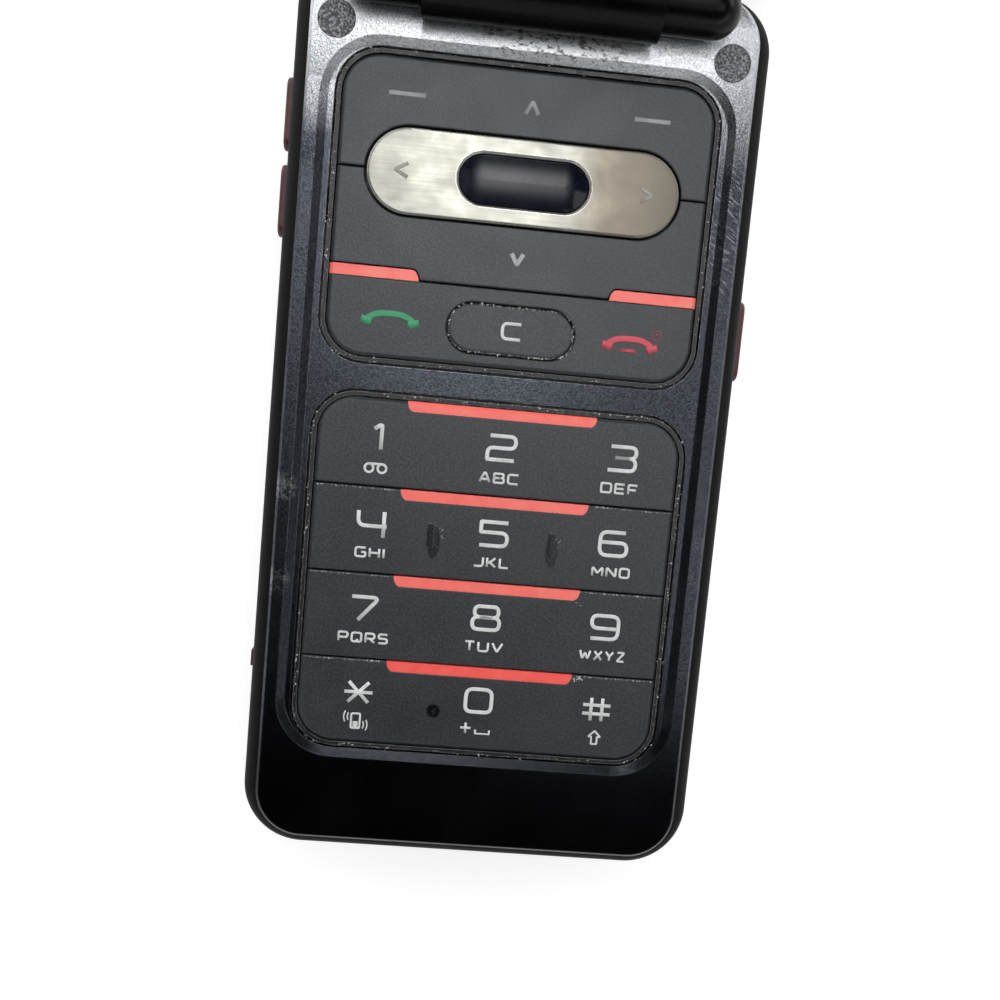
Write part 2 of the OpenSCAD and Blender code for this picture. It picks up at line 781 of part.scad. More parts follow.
// The microphone behind its hole in the low end
module microphone() {
    color(gold) translate([-mic_w / 2, ant_y - mic_l - loose, mic_z - mic_h / 2])
        cube([mic_w, mic_l, mic_h]);
}

// The aerial: a moulded carrier with a folded metal pattern
module antenna() {
    top = floor_z - 0.4;
    color(black) translate([-ant_w / 2, ant_y, slot_floor + 0.02])
        cube([ant_w, ant_l, top - slot_floor - 0.02]);
    color(gold) for (i = [0:3]) translate([-ant_w / 2 + 2 + i * 7, ant_y + 1, top])
        cube([5, ant_l - 2, 0.2]);
}

// The main board, notched round the screws
module main_board() {
    color(board_green) difference() {
        plate(board_w, board_low, board_high, 2.5, 2, board_z, board_top);
        at_rear_screws() translate([0, 0, board_z - 1]) cylinder(r = boss_r + 0.3, h = 3);
        at_caps() translate([0, 0, board_z - 1]) cylinder(r = cap_r + 0.8, h = 3);
    }
}

// Two pressed shield cans under the board, beside the battery
module shield_cans() {
    color(metal) for (side = [-1, 1])
        translate([side * can_x - can_w / 2, can_y, board_z - can_h]) cube([can_w, can_l, can_h]);
}

// The film of metal domes on the board
module dome_sheet() {
    color(steel) {
        difference() {
            plate(key_w - 2, up(num_key_low) + 1, up(nav_key_high) - 1, 3, 3, board_top,
                board_top + dome_t);
            at_rear_screws() cylinder(r = boss_r + 0.3, h = base_h);
        }
        for (row = [0:3]) for (column = [-1:1]) dome(column * column_w,
            num_key_high - row_l * (row + 0.44));
        for (column = [-1, 1]) {
            dome(column * column_w, nav_key_low + call_l / 2);
            dome(column * (ok_w / 2 + 6.3), plate_mid);
            dome(column * column_w, nav_key_high - 3.4);
        }
        dome(0, nav_key_low + call_l / 2);
        dome(0, plate_mid);
        dome(0, plate_mid - plate_l / 2 - 3.5);
        dome(0, nav_key_high - 3.4);
    }
}

// One shallow dome, a slice of a ball
module dome(x, v) {
    r = 2.1;
    ball = (r * r + dome_h * dome_h) / (2 * dome_h);
    translate([x, up(v), board_top + dome_t]) intersection() {
        translate([0, 0, dome_h - ball]) sphere(r = ball);
        cylinder(r = r, h = dome_h);
    }
}

// The rubber mat: a sheet under the frame, with a raised lip round each opening
module keypad_mat() {
    color("#232426") difference() {
        union() {
            plate(opening_w + 1.2, up(num_low) - 0.6, up(nav_high) + 0.6, opening_r, opening_r,
                mat_top - mat_t, mat_top);
            lip(num_low, num_high);
            lip(nav_low, nav_high);
        }
        at_rear_screws() cylinder(r = boss_r + 0.1, h = mat_top);
        at_switches() translate([switch_x - 0.1, -switch_w / 2 - 0.1, 0])
            cube([4, switch_w + 0.2, mat_top + 0.1]);
    }
}

// One lip, between the edge of its opening and the keys
module lip(low, high) {
    difference() {
        plate(opening_w - 2 * seal_gap, up(low + seal_gap), up(high - seal_gap),
            opening_r - seal_gap, opening_r - seal_gap, mat_top, slope_z + 0.15);
        plate(opening_w - 2 * (seal_gap + seal_t), up(low + seal_gap + seal_t),
            up(high - seal_gap - seal_t), opening_r - seal_gap - seal_t,
            opening_r - seal_gap - seal_t, mat_top - 0.1, base_h);
    }
}

// A key field as one solid with its outer edge bevelled
module key_field(low, high) {
    difference() {
        plate(key_w, up(low), up(high), key_r, key_r, key_z, key_top);
        bevel_cut(key_w, up(low), up(high), key_r, key_r, key_bevel, key_top);
    }
}

// The part of a key field between two heights from the low end
module field_part(low, high, from, to) {
    intersection() {
        key_field(low, high);
        translate([-body_w / 2, up(from), 0]) cube([body_w, to - from, base_h + 1]);
    }
}

// The inner edge of a key cap taken off at y, where way is 1 towards the hinge
module edge_cut(y, way) {
    translate([-body_w / 2, y, key_top]) rotate([90, 0, 90]) linear_extrude(body_w)
        polygon([[-way * edge_break, 0], [0, -edge_break], [way * edge_break, -edge_break],
            [way * edge_break, edge_break], [-way * edge_break, edge_break]]);
}

// Quarter of an oval from its foot, out by run and up by rise, as points
function oval(run, rise, steps = 12) =
    [for (i = [0:steps]) [run * cos(90 * i / steps), rise * sin(90 * i / steps)]];

// The room of a number row's red inlay, hanging from the row's top edge
module row_inlay_space(row, deep) {
    high = num_key_high - row * row_l - (row > 0 ? split_gap / 2 : 0);
    straight = inlay_w / 2 - inlay_run;
    end = oval(inlay_run, inlay_l);
    translate([0, up(high), key_top - deep]) linear_extrude(deep + 1)
        polygon(concat([for (p = end) [straight + p[0], -p[1]]],
            [for (i = [len(end) - 1:-1:0]) [-straight - end[i][0], -end[i][1]]]));
}

// One row of number keys, one cap for three keys
module number_row(row) {
    from = num_key_high - (row + 1) * row_l + (row < 3 ? split_gap / 2 : 0);
    to = num_key_high - row * row_l - (row > 0 ? split_gap / 2 : 0);
    difference() {
        field_part(num_key_low, num_key_high, from, to);
        row_inlay_space(row, inlay_t);
        if (row > 0) edge_cut(up(to), 1);
        if (row < 3) edge_cut(up(from), -1);
    }
    if (row == 1) for (side = [-1, 1])
        translate([side * column_w / 2, up((from + to) / 2), 0]) rotate([0, 0, 90])
            capped_bar(nib_l, nib_w, key_top - 0.1, key_top + nib_h, nib_h * 0.8);
}

// The red inlay of a row
module row_inlay(row) {
    intersection() {
        key_field(num_key_low, num_key_high);
        row_inlay_space(row, inlay_t);
    }
}

// The steel plate's outline with a gap, as a tool to cut with
module plate_space(gap) {
    translate([0, plate_mid_y, 0])
        flared_bar(plate_w + 2 * gap, plate_l + 2 * gap, 0, key_top, edge_break);
}

// The raised corners of the call row, which carry its red inlays
module ear_space(side, gap, z0, z1) {
    inner = key_w / 2 - ear_w;
    end = oval(inlay_run + gap, inlay_l + gap);
    mirror([side < 0 ? 1 : 0, 0, 0]) translate([inner, up(call_high), z0])
        linear_extrude(z1 - z0)
            polygon(concat([[-end[0][0], -0.01]], [for (p = end) [-p[0], p[1]]],
                [[ear_w + 1, end[len(end) - 1][1]], [ear_w + 1, -0.01]]));
}

// The strip over the steel plate: the two soft keys and the up key
module soft_key_strip() {
    color(key_black) difference() {
        field_part(nav_key_low, nav_key_high, plate_mid + split_gap / 2, nav_key_high);
        plate_space(key_gap * 2);
        edge_cut(up(plate_mid + split_gap / 2), -1);
    }
}

// The strip under the steel plate: the down key
module down_key_strip() {
    color(key_black) difference() {
        field_part(nav_key_low, nav_key_high, call_high + split_gap, plate_mid - split_gap / 2);
        plate_space(key_gap * 2);
        edge_cut(up(plate_mid - split_gap / 2), 1);
        edge_cut(up(call_high + split_gap), -1);
        for (side = [-1, 1]) ear_space(side, split_gap, 0, base_h + 1);
    }
}

// The brushed steel plate, which rocks to the left and to the right
module nav_plate() {
    top = key_top + plate_high;
    color(steel) translate([0, plate_mid_y, 0]) difference() {
        capped_bar(plate_w, plate_l, key_z, top, 0.3);
        flared_bar(ok_w + 2 * key_gap, ok_l + 2 * key_gap, 0, top, ok_flare);
    }
}

// The glossy centre key, crowned like a lens
module ok_key() {
    color(gloss) translate([0, plate_mid_y, 0])
        crowned_bar(ok_w, ok_l, key_z, key_top + plate_high + 0.05, ok_crown, 0.12);
}

// The call and end keys, one cap round the clear key
module call_strip() {
    color(key_black) difference() {
        union() {
            difference() {
                field_part(nav_key_low, nav_key_high, nav_key_low, call_high);
                edge_cut(up(call_high), 1);
            }
            intersection() {
                key_field(nav_key_low, nav_key_high);
                for (side = [-1, 1]) ear_space(side, 0, key_z, key_top);
            }
        }
        for (side = [-1, 1]) ear_space(side, 0, key_top - inlay_t, base_h + 1);
        translate([0, clear_mid_y, 0])
            flared_bar(clear_w + 4 * key_gap, clear_l + 4 * key_gap, 0, key_top, edge_break);
    }
}

// The red inlays over the call and end keys
module call_inlays() {
    color(red) intersection() {
        key_field(nav_key_low, nav_key_high);
        for (side = [-1, 1]) ear_space(side, 0, key_top - inlay_t, key_top);
    }
}

// The clear key
module clear_key() {
    color(key_black) translate([0, clear_mid_y, 0])
        capped_bar(clear_w, clear_l, key_z, key_top + 0.1, 0.3);
}

module key_row_1() { color(key_black) number_row(0); }
module key_row_2() { color(key_black) number_row(1); }
module key_row_3() { color(key_black) number_row(2); }
module key_row_4() { color(key_black) number_row(3); }
module inlay_1() { color(red) row_inlay(0); }
module inlay_2() { color(red) row_inlay(1); }
module inlay_3() { color(red) row_inlay(2); }
module inlay_4() { color(red) row_inlay(3); }

// A side key: a bar with round ends that stands out of the band, and a flange inside
module side_button(side, at, length) {
    mirror([side < 0 ? 1 : 0, 0, 0]) translate([0, up(at), side_z]) rotate([90, 0, 90]) {
        capped_bar(length, side_h, side_seat, body_w / 2 + side_out, 0.3);
        bar(length + 1.2, side_h + 0.8, side_seat - side_flange, side_seat);
    }
}

// The way a side key takes through the wall
module side_key_space(side, at, length) {
    mirror([side < 0 ? 1 : 0, 0, 0]) translate([0, up(at), side_z]) rotate([90, 0, 90]) {
        bar(length + 2 * key_gap, side_h + 2 * key_gap, hollow_w / 2 - 1, body_w);
        bar(length + 1.8, side_h + 1.4, hollow_w / 2 - 1, side_seat);
    }
}

module volume_up_key() { color(dark_red) side_button(-1, volume_up_at, volume_l); }
module volume_down_key() { color(dark_red) side_button(-1, volume_down_at, volume_l); }
module side_key() { color(dark_red) side_button(1, side_key_at, side_key_l); }

// One small switch behind each side key, on the board's edge
module side_switches() {
    reach = side_seat - side_flange - side_travel - 0.05;
    color(metal) at_switches() translate([switch_x, -switch_w / 2, board_top])
        cube([reach - switch_x, switch_w, switch_h]);
}

// Room for the port cover and for the connector behind it
module port_space() {
    low = port_y - port_l / 2;
    translate([-body_w / 2 - 1, low, port_z - port_h / 2])
        cube([1 + cover_t / 2, pivot_y - low + cover_t / 2 + 0.1, port_h]);
    translate([-body_w / 2, low, port_z - port_h / 2])
        cube([cover_t + 0.1, pivot_y - low, port_h]);
    post(cover_t / 2 - body_w / 2, pivot_y, cover_t / 2 + 0.1, port_z - port_h / 2,
        port_z + port_h / 2);
    translate([conn_x - 1, port_y - conn_w / 2 - loose, port_z - conn_h / 2 - loose])
        cube([conn_d + 1 + loose, conn_w + 2 * loose, conn_h + 2 * loose]);
    translate([1 - hollow_w / 2, port_y - conn_w / 2 - loose, port_z])
        cube([conn_x + conn_d + loose + hollow_w / 2 - 1, conn_w + 2 * loose,
            floor_z - port_z + 0.1]);
}

// The connector: a metal shell with its tongue and its feet on the board
module port_connector() {
    color(metal) translate([conn_x, port_y - conn_w / 2, port_z - conn_h / 2]) {
        difference() {
            cube([conn_d, conn_w, conn_h]);
            translate([-0.1, 0.3, 0.3]) cube([conn_d - 0.8, conn_w - 0.6, conn_h - 0.6]);
        }
        translate([0.6, 1.6, conn_h / 2 - 0.35]) cube([conn_d - 1, conn_w - 3.2, 0.7]);
        for (foot = [0.5, conn_w - 2.5]) translate([conn_d - 2, foot, conn_h])
            cube([1.5, 2, board_z - port_z - conn_h / 2]);
    }
}

// The rubber port cover with its red pull; it swings on its rounded upper end
module port_cover() {
    low = port_y - port_l / 2 + 0.1;
    z0 = port_z - port_h / 2 + 0.1;
    color(rubber) {
        translate([-body_w / 2, low, z0]) cube([cover_t, pivot_y - low, port_h - 0.2]);
        post(cover_t / 2 - body_w / 2, pivot_y, cover_t / 2, z0, z0 + port_h - 0.2);
    }
    color(dark_red) translate([-body_w / 2 - side_out, port_y - 0.95, port_z - 1])
        cube([side_out, 1.9, 2]);
}

// The round caps over the upper screws
module screw_caps() {
    color(rubber) at_caps() translate([0, 0, base_h - cap_h]) cylinder(r = cap_r, h = cap_h);
}

// The screws that hold the lower half together
module case_screws() {
    color(metal) {
        at_caps() {
            z1 = base_h - cap_h - 0.1;
            translate([0, 0, z1 - head_h]) cylinder(r = head_r, h = head_h);
            translate([0, 0, 5]) cylinder(r = screw_r - 0.02, h = z1 - head_h - 5);
        }
        at_rear_screws() {
            translate([0, 0, rear_head_z]) cylinder(r = head_r, h = head_h);
            translate([0, 0, rear_head_z]) cylinder(r = screw_r - 0.02,
                h = base_h - 1 - rear_head_z);
        }
    }
}

// The two fixed knuckles: round humps on the frame with ball ends
module hinge_knuckles() {
    color(gloss) for (side = [0, 1]) mirror([side, 0, 0]) difference() {
        union() {
            translate([knuckle_in, axis_y, axis_z]) rotate([0, 90, 0]) rotate_extrude() {
                square([knuckle_r, knuckle_end - knuckle_in]);
                translate([0, knuckle_end - knuckle_in]) quarter(knuckle_r);
            }
            translate([knuckle_in, axis_y - foot_l / 2, base_h])
                cube([knuckle_end - knuckle_in, foot_l, axis_high]);
        }
        along(0, barrel_w / 2 + shaft_in, shaft_r + 0.02, axis_y, axis_z);
    }
}

// The shaft of the hinge cartridge, held by the left knuckle
module hinge_shaft() {
    color(metal) along(-barrel_w / 2 - shaft_in, -barrel_w / 2 + cartridge_w - 3, shaft_r,
        axis_y, axis_z);
}

// The plain pin on the other side, held by the right knuckle
module hinge_pin() {
    color(metal) along(barrel_w / 2 - 2.4, barrel_w / 2 + shaft_in, shaft_r, axis_y, axis_z);
}

// The cartridge with the cam and its spring, a bought-in unit pushed into the barrel
module hinge_cartridge() {
    color(metal) opened() difference() {
        along(-barrel_w / 2 + 0.3, -barrel_w / 2 + cartridge_w, cartridge_r, axis_y, axis_z);
        along(-barrel_w, -barrel_w / 2 + cartridge_w - 2.6, shaft_r + shaft_fit, axis_y, axis_z);
    }
}

// The flat cable, rolled round the axis inside the barrel
module hinge_flex() {
    color("#b5702a") opened() difference() {
        along(flex_x, flex_x + flex_w, cartridge_r - 0.3, axis_y, axis_z);
        along(flex_x - 0.2, flex_x + flex_w + 0.2, cartridge_r - 0.6, axis_y, axis_z);
    }
}

// The lid's inner half with the barrel and its neck
module lid_inner_case() {
    color(black) opened() difference() {
        union() {
            slab(lid_w, lid_low, lid_high, lid_corner, lid_high_r, lid_z, split_z, 0.9, seam_r);
            along(-barrel_w / 2, barrel_w / 2, barrel_r - barrel_cover_t, axis_y, axis_z);
            neck();
            translate([-barrel_w / 2, lid_high - 1, axis_z - neck_low])
                cube([barrel_w, 2, split_z - axis_z + neck_low]);
        }
        plate(window_w + 0.2, window_y - 0.1, window_y + window_l + 0.1, 2.1, 2.1, 0,
            lid_z + window_t + 0.05);
        translate([-display_w / 2 - loose, display_y - loose, 0])
            cube([display_w + 2 * loose, display_l + 2 * loose, lid_top]);
        plate(lid_w - 2 * lid_wall, lid_low + lid_wall, lid_high - lid_wall,
            lid_corner - lid_wall, lid_high_r - lid_wall, lid_floor, lid_top);
        along(-barrel_w / 2 - 1, barrel_w / 2 - 2, cartridge_r + 0.02, axis_y, axis_z);
        along(0, barrel_w, shaft_r + shaft_fit, axis_y, axis_z);
        translate([0, earpiece_y, 0]) {
            bar(13.2, 5.2, lid_z + 1, lid_top);
            bar(ear_slot_w, ear_slot_l, lid_z - 1, lid_z + 2);
            bar(ear_slot_w + 1, ear_slot_l + 1, lid_z - 1, lid_z + mesh_top);
        }
        at_lid_screws() {
            translate([0, 0, lid_z - 1]) cylinder(r = screw_r + 0.1, h = lid_h);
            translate([0, 0, lid_z - 1]) cylinder(r = head_r + 0.1, h = 1 + 1.6);
        }
        at_bumpers() translate([0, 0, lid_z - 1]) cylinder(r = bumper_r + 0.05, h = 1.5);
    }
}

// The neck between the lid's slab and its barrel
module neck() {
    translate([-barrel_w / 2, lid_high + 0.05, axis_z - neck_low])
        cube([barrel_w, axis_y - lid_high - 0.05, barrel_r + neck_low]);
}

// The glossy cover that wraps the barrel outside the neck
module barrel_cover() {
    color(gloss) opened() difference() {
        along(-barrel_w / 2, barrel_w / 2, barrel_r, axis_y, axis_z);
        along(-barrel_w, barrel_w, barrel_r - barrel_cover_t, axis_y, axis_z);
        neck();
    }
}

// The four places of the lid's screws
module at_lid_screws() {
    for (side = [-1, 1]) for (y = [lid_low + lid_screw_low, lid_high - lid_screw_high])
        translate([side * (lid_w / 2 - lid_screw_in), y, 0]) children();
}

// The two places of the rubber stops near the lid's free end
module at_bumpers() {
    for (side = [-1, 1])
        translate([side * (lid_w / 2 - bumper_in), up(bumper_up), 0]) children();
}

// The lid's outer half, with soft edges and a boss for each screw
module lid_outer_case() {
    roof = lid_top - lid_wall - 1.4;
    color(black) opened() difference() {
        union() {
            difference() {
                slab(lid_w, lid_low, lid_high, lid_corner, lid_high_r + 0.4, split_z, lid_top,
                    seam_r, lid_round);
                plate(lid_w - 2 * lid_wall, lid_low + lid_wall, lid_high - lid_wall,
                    lid_corner - lid_wall, lid_high_r - lid_wall, split_z - 1, roof);
            }
            at_lid_screws() post(0, 0, screw_r + 0.7, lid_floor + 0.05, roof + 0.2);
        }
        at_lid_screws() post(0, 0, screw_r, lid_floor, roof);
        plate(outer_window_w + 0.2, outer_window_y - 0.1,
            outer_window_y + outer_window_l + 0.1, 3.1, 3.1, lid_top - window_t - 0.05,
            lid_top + 1);
        plate(outer_window_w - 3, outer_window_y + 1.5, outer_window_y + outer_window_l - 1.5,
            0.5, 0.5, split_z, lid_top + 1);
        post(0, camera_y, camera_r + 0.1, lid_top - 0.9, lid_top + 1);
        post(0, camera_y, camera_r - 1.2, split_z, lid_top + 1);
    }
}

// The clear window over the main display, black round its edge
module main_window() {
    color(gloss) opened() plate(window_w, window_y, window_y + window_l, 2, 2, lid_z,
        lid_z + window_t);
}

module main_display() {
    color("#1d2228") opened() translate([-display_w / 2, display_y, display_z])
        cube([display_w, display_l, display_t]);
}

module lid_board() {
    color(board_green) opened() difference() {
        plate(lid_w - 2 * lid_wall - 1, lid_low + lid_wall + lid_board_in,
            lid_high - lid_wall - 1, lid_board_r, 1, lid_board_z, lid_board_z + lid_board_t);
        at_lid_screws() post(0, 0, screw_r + 0.9, lid_z, lid_top);
    }
}

module outer_window() {
    color(gloss) opened() plate(outer_window_w, outer_window_y,
        outer_window_y + outer_window_l, 3, 3, lid_top - window_t, lid_top);
}

module outer_display() {
    color("#1d2228") opened() translate([-outer_window_w / 2 + 1.7, outer_window_y + 1.7,
        lid_top - window_t - 2.2]) cube([outer_window_w - 3.4, outer_window_l - 3.4, 2]);
}

module earpiece() {
    color(metal) opened() translate([0, earpiece_y, 0]) bar(13, 5, lid_z + 1.05,
        lid_board_z - 0.1);
}

module earpiece_mesh() {
    color(metal) opened() translate([0, earpiece_y, 0]) bar(ear_slot_w + 0.8,
        ear_slot_l + 0.8, lid_z + 0.05, lid_z + mesh_top);
}

module camera_module() {
    color(gloss) opened() {
        translate([-3.6, camera_y - 3.6, lid_board_z + lid_board_t]) cube([7.2, 7.2, 2.4]);
        post(0, camera_y, 2.6, lid_board_z + lid_board_t, lid_top - 1.2);
    }
}

module camera_ring() {
    color(metal) opened() translate([0, camera_y, lid_top]) rotate_extrude()
        polygon([[camera_r - 1, -0.85], [camera_r, -0.85], [camera_r, 0.05],
            [camera_r - 0.06, 0.15], [camera_r - 0.18, 0.2], [camera_r - 0.4, 0.2],
            [camera_r - 1, -0.15]]);
}

module camera_glass() {
    color(gloss) opened() post(0, camera_y, camera_r - 1.02, lid_top - 0.8, lid_top - 0.2);
}

module lid_bumpers() {
    low = lid_z - lid_gap + 0.1;
    color(rubber) opened() at_bumpers() rotate_extrude()
        polygon([[0, low], [bumper_r * 0.6, low + 0.04], [bumper_r * 0.88, low + 0.14],
            [bumper_r, low + 0.32], [bumper_r, low + 0.85], [0, low + 0.85]]);
}

module lid_screws() {
    color(metal) opened() at_lid_screws() {
        translate([0, 0, lid_z + 0.8]) cylinder(r = head_r, h = head_h);
        translate([0, 0, lid_z + 0.8]) cylinder(r = screw_r - 0.02, h = lid_screw_l);
    }
}

module lid_screw_caps() {
    color(rubber) opened() at_lid_screws() translate([0, 0, lid_z]) cylinder(r = head_r + 0.05,
        h = 0.7);
}

module lid_magnet() {
    color(metal) opened() translate([-magnet_x, up(magnet_up), lid_floor + 0.05])
        cube([4, 2, 0.55]);
}

front_case();
rear_case();
screw_caps();
case_screws();
keypad_mat();
dome_sheet();
main_board();
shield_cans();
soft_key_strip();
down_key_strip();
nav_plate();
ok_key();
call_strip();
call_inlays();
clear_key();
key_row_1();
key_row_2();
key_row_3();
key_row_4();
inlay_1();
inlay_2();
inlay_3();
inlay_4();
volume_up_key();
volume_down_key();
side_key();
side_switches();
port_cover();
port_connector();
battery_door();
battery();
battery_contacts();
sim_holder();
loudspeaker();
microphone();
antenna();
vibration_motor();
hinge_knuckles();
hinge_shaft();
hinge_pin();
hinge_cartridge();
hinge_flex();
lid_inner_case();
lid_outer_case();
barrel_cover();
main_window();
main_display();
lid_board();
outer_window();
outer_display();
earpiece();
earpiece_mesh();
camera_module();
camera_ring();
camera_glass();
lid_bumpers();
lid_screws();
lid_screw_caps();
lid_magnet();
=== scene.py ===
# %% [markdown]
# # A flip phone, open on a table
# This file dresses a finished CAD model of a rugged flip phone. The CAD file owns
# every size and every joint; here the pieces get their finishes, their printed
# legends, their softened edges, and the light that the photograph has.
# A phone could also be modelled freely in Blender, but then its hinge and its
# keys would have no true sizes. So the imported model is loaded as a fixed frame.

# %% Load the frame
import json
import math
import random

import bmesh
import bpy
from mathutils import Matrix, Vector


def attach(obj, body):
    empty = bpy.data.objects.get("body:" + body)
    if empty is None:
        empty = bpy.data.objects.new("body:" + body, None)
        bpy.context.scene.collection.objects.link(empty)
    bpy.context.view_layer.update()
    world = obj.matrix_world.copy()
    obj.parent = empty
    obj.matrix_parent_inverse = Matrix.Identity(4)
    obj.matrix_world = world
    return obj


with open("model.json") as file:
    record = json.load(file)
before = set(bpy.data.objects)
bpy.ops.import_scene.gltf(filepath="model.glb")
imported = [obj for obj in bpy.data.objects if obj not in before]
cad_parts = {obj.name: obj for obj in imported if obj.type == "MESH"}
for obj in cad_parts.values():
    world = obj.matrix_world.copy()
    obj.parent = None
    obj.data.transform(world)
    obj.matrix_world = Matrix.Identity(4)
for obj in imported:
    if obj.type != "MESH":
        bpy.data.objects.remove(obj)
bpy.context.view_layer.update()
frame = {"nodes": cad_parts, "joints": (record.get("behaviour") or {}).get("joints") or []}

MM = 0.001

# %% [markdown]
# ## The camera
# The photograph was taken by hand, almost straight above the keypad and very
# close. Its place was worked out from the corners of the frame and the grid of
# the keys, so that the model's edges land on those of the picture. A close lens
# makes perspective strong, which is why the far end of the phone looks wider.

# %% Place the camera
def shown(name, data):
    """A new object with this data, in the scene."""
    made = bpy.data.objects.new(name, data)
    bpy.context.scene.collection.objects.link(made)
    return made


def look_from(place, forward, up):
    """A camera matrix from where it stands, where it looks and what is up."""
    back = -Vector(forward).normalized()
    right = Vector(up).cross(back).normalized()
    top = back.cross(right)
    turn = Matrix((right, top, back)).transposed().to_4x4()
    return Matrix.Translation(Vector(place)) @ turn


lens = bpy.data.cameras.new("camera")
lens.sensor_width = 36
lens.lens = 36
lens.clip_start = 0.002
lens.clip_end = 20
camera = shown("camera", lens)
camera.matrix_world = look_from(
    (-6.52 * MM, 3.04 * MM, 124.14 * MM),
    (0.0627, -0.0955, -0.9935), (-0.0855, 0.9912, -0.1007))
bpy.context.scene.camera = camera
bpy.context.scene.view_settings.view_transform = "Standard"
print("camera", round(camera.location.z / MM, 1), "mm above the table")

# %% [markdown]
# ## Colours and nodes
# Colours are picked as sRGB hex values, as in any paint program. Shaders work
# with linear light, so one function turns the first into the second. Another adds a
# shader node with its settings and inputs. Two more lay coats of colour over each
# other and cut masks down by other masks, as every recipe below does.

# %% Helpers for every material
def linear(hex_colour):
    """An sRGB hex value as the linear colour that shaders use."""
    parts = [int(hex_colour[i:i + 2], 16) / 255 for i in (1, 3, 5)]
    return tuple(p / 12.92 if p <= 0.04045 else ((p + 0.055) / 1.055) ** 2.4
                 for p in parts) + (1.0,)


def fill(node, inputs):
    """Sets inputs, by name or in order, to numbers, vectors, hex colours or outputs."""
    if isinstance(inputs, dict):
        pairs = [(node.inputs[key], value) for key, value in inputs.items()]
    else:
        pairs = zip([socket for socket in node.inputs if socket.enabled], inputs)
    for socket, value in pairs:
        if isinstance(value, bpy.types.NodeSocket):
            node.id_data.links.new(value, socket)
        else:
            socket.default_value = linear(value) if isinstance(value, str) else value


def add(tree, kind, inputs=(), out=None, **settings):
    """Adds a node with its settings and inputs, and gives one output or the first."""
    made = tree.nodes.new("ShaderNode" + kind)
    for key, value in settings.items():
        setattr(made, key, value)
    fill(made, inputs)
    return made.outputs[out] if out else next(o for o in made.outputs if o.enabled)


def start_material(name):
    """A new material with its shader and its object coordinates."""
    material = bpy.data.materials.new(name)
    material.use_nodes = True
    tree = material.node_tree
    return material, tree, tree.nodes["Principled BSDF"], add(tree, "TexCoord", out="Object")


def layered(tree, colour, *coats):
    """A colour with coats over it. Each coat is a mask and the colour it lays there."""
    for mask, coat in coats:
        colour = add(tree, "Mix", (mask, colour, coat), data_type="RGBA")
    return colour


def all_of(tree, *masks):
    """1 where every mask is 1. A plain number among them weakens the rest."""
    whole = masks[0]
    for mask in masks[1:]:
        whole = add(tree, "Math", (whole, mask), operation="MULTIPLY")
    return whole


# %% [markdown]
# ## Edges that catch the light
# No moulded or painted edge is perfectly sharp, and the thin bright line along it
# is what makes a small object look real. The CAD pieces have true, crisp edges
# and must keep their meshes, so the rounding is done in the shader: the Bevel
# node blends the normals of the faces that meet within a small radius. The same
# node also finds edges, by how far its normal leans from the face's own.

# %% Rounded edges and an edge mask
EDGE_LEAN = 0.03        # how far a normal leans before a place counts as an edge


def soft_edges(tree, radius_mm, height=None, depth_mm=0.0):
    """A normal rounded at edges, with an optional bump of that depth on top."""
    normal = add(tree, "Bevel", (radius_mm * MM,), samples=4)
    if height is not None:
        normal = add(tree, "Bump", {"Strength": 1.0, "Distance": depth_mm * MM,
                                    "Height": height, "Normal": normal})
    return normal


def edge_mask(tree, radius_mm):
    """1 on edges and 0 on open faces."""
    rounded_off = add(tree, "Bevel", (radius_mm * MM,), samples=6)
    facing = add(tree, "VectorMath", (rounded_off, add(tree, "NewGeometry", out="Normal")),
                 operation="DOT_PRODUCT")
    return add(tree, "MapRange", (facing, 1 - EDGE_LEAN, 1 - 4 * EDGE_LEAN))


# %% [markdown]
# Every pattern is sized in real millimetres, and stretched where lines or short
# strokes are wanted. A worn spot is the distance to a point, turned into a mask.

# %% Patterns in millimetres
def noise_mm(tree, place, size_mm, detail=2.0, roughness=0.5, stretch=None):
    """A noise whose features are about this many millimetres across."""
    if stretch:
        place = add(tree, "Mapping", {"Vector": place, "Scale": stretch})
    return add(tree, "TexNoise", (place, 1 / (size_mm * MM), detail, roughness))


def noise_mask(tree, place, size_mm, low, high, detail=4.0, roughness=0.7, stretch=None):
    """0 where such a noise is low, 1 where it is high."""
    noise = noise_mm(tree, place, size_mm, detail, roughness, stretch)
    return add(tree, "MapRange", (noise, low, high))


def ramp_mm(tree, place, axis, start, end, first=0.0, last=1.0):
    """Goes from the first value to the last between two places along an axis."""
    along = add(tree, "SeparateXYZ", (place,), axis)
    return add(tree, "MapRange", (along, start * MM, end * MM, first, last))


def spot(tree, place, centre_mm, radius_mm, soft_mm):
    """1 within a radius of a point given in millimetres, fading to 0 around it."""
    away = add(tree, "VectorMath", (place, [c * MM for c in centre_mm]), operation="DISTANCE")
    return add(tree, "MapRange", (away, (radius_mm + soft_mm) * MM, radius_mm * MM))


print("helpers ready")

# %% [markdown]
# ## Moulded plastics and rubbers
# Most pieces of the phone come out of a mould. A moulded surface is never one
# even colour: it has a fine grain from the mould, and patches polished by
# fingers. One recipe serves them all, with the real grain size in millimetres,
# because plastic and rubber differ only in colour, grain and gloss.

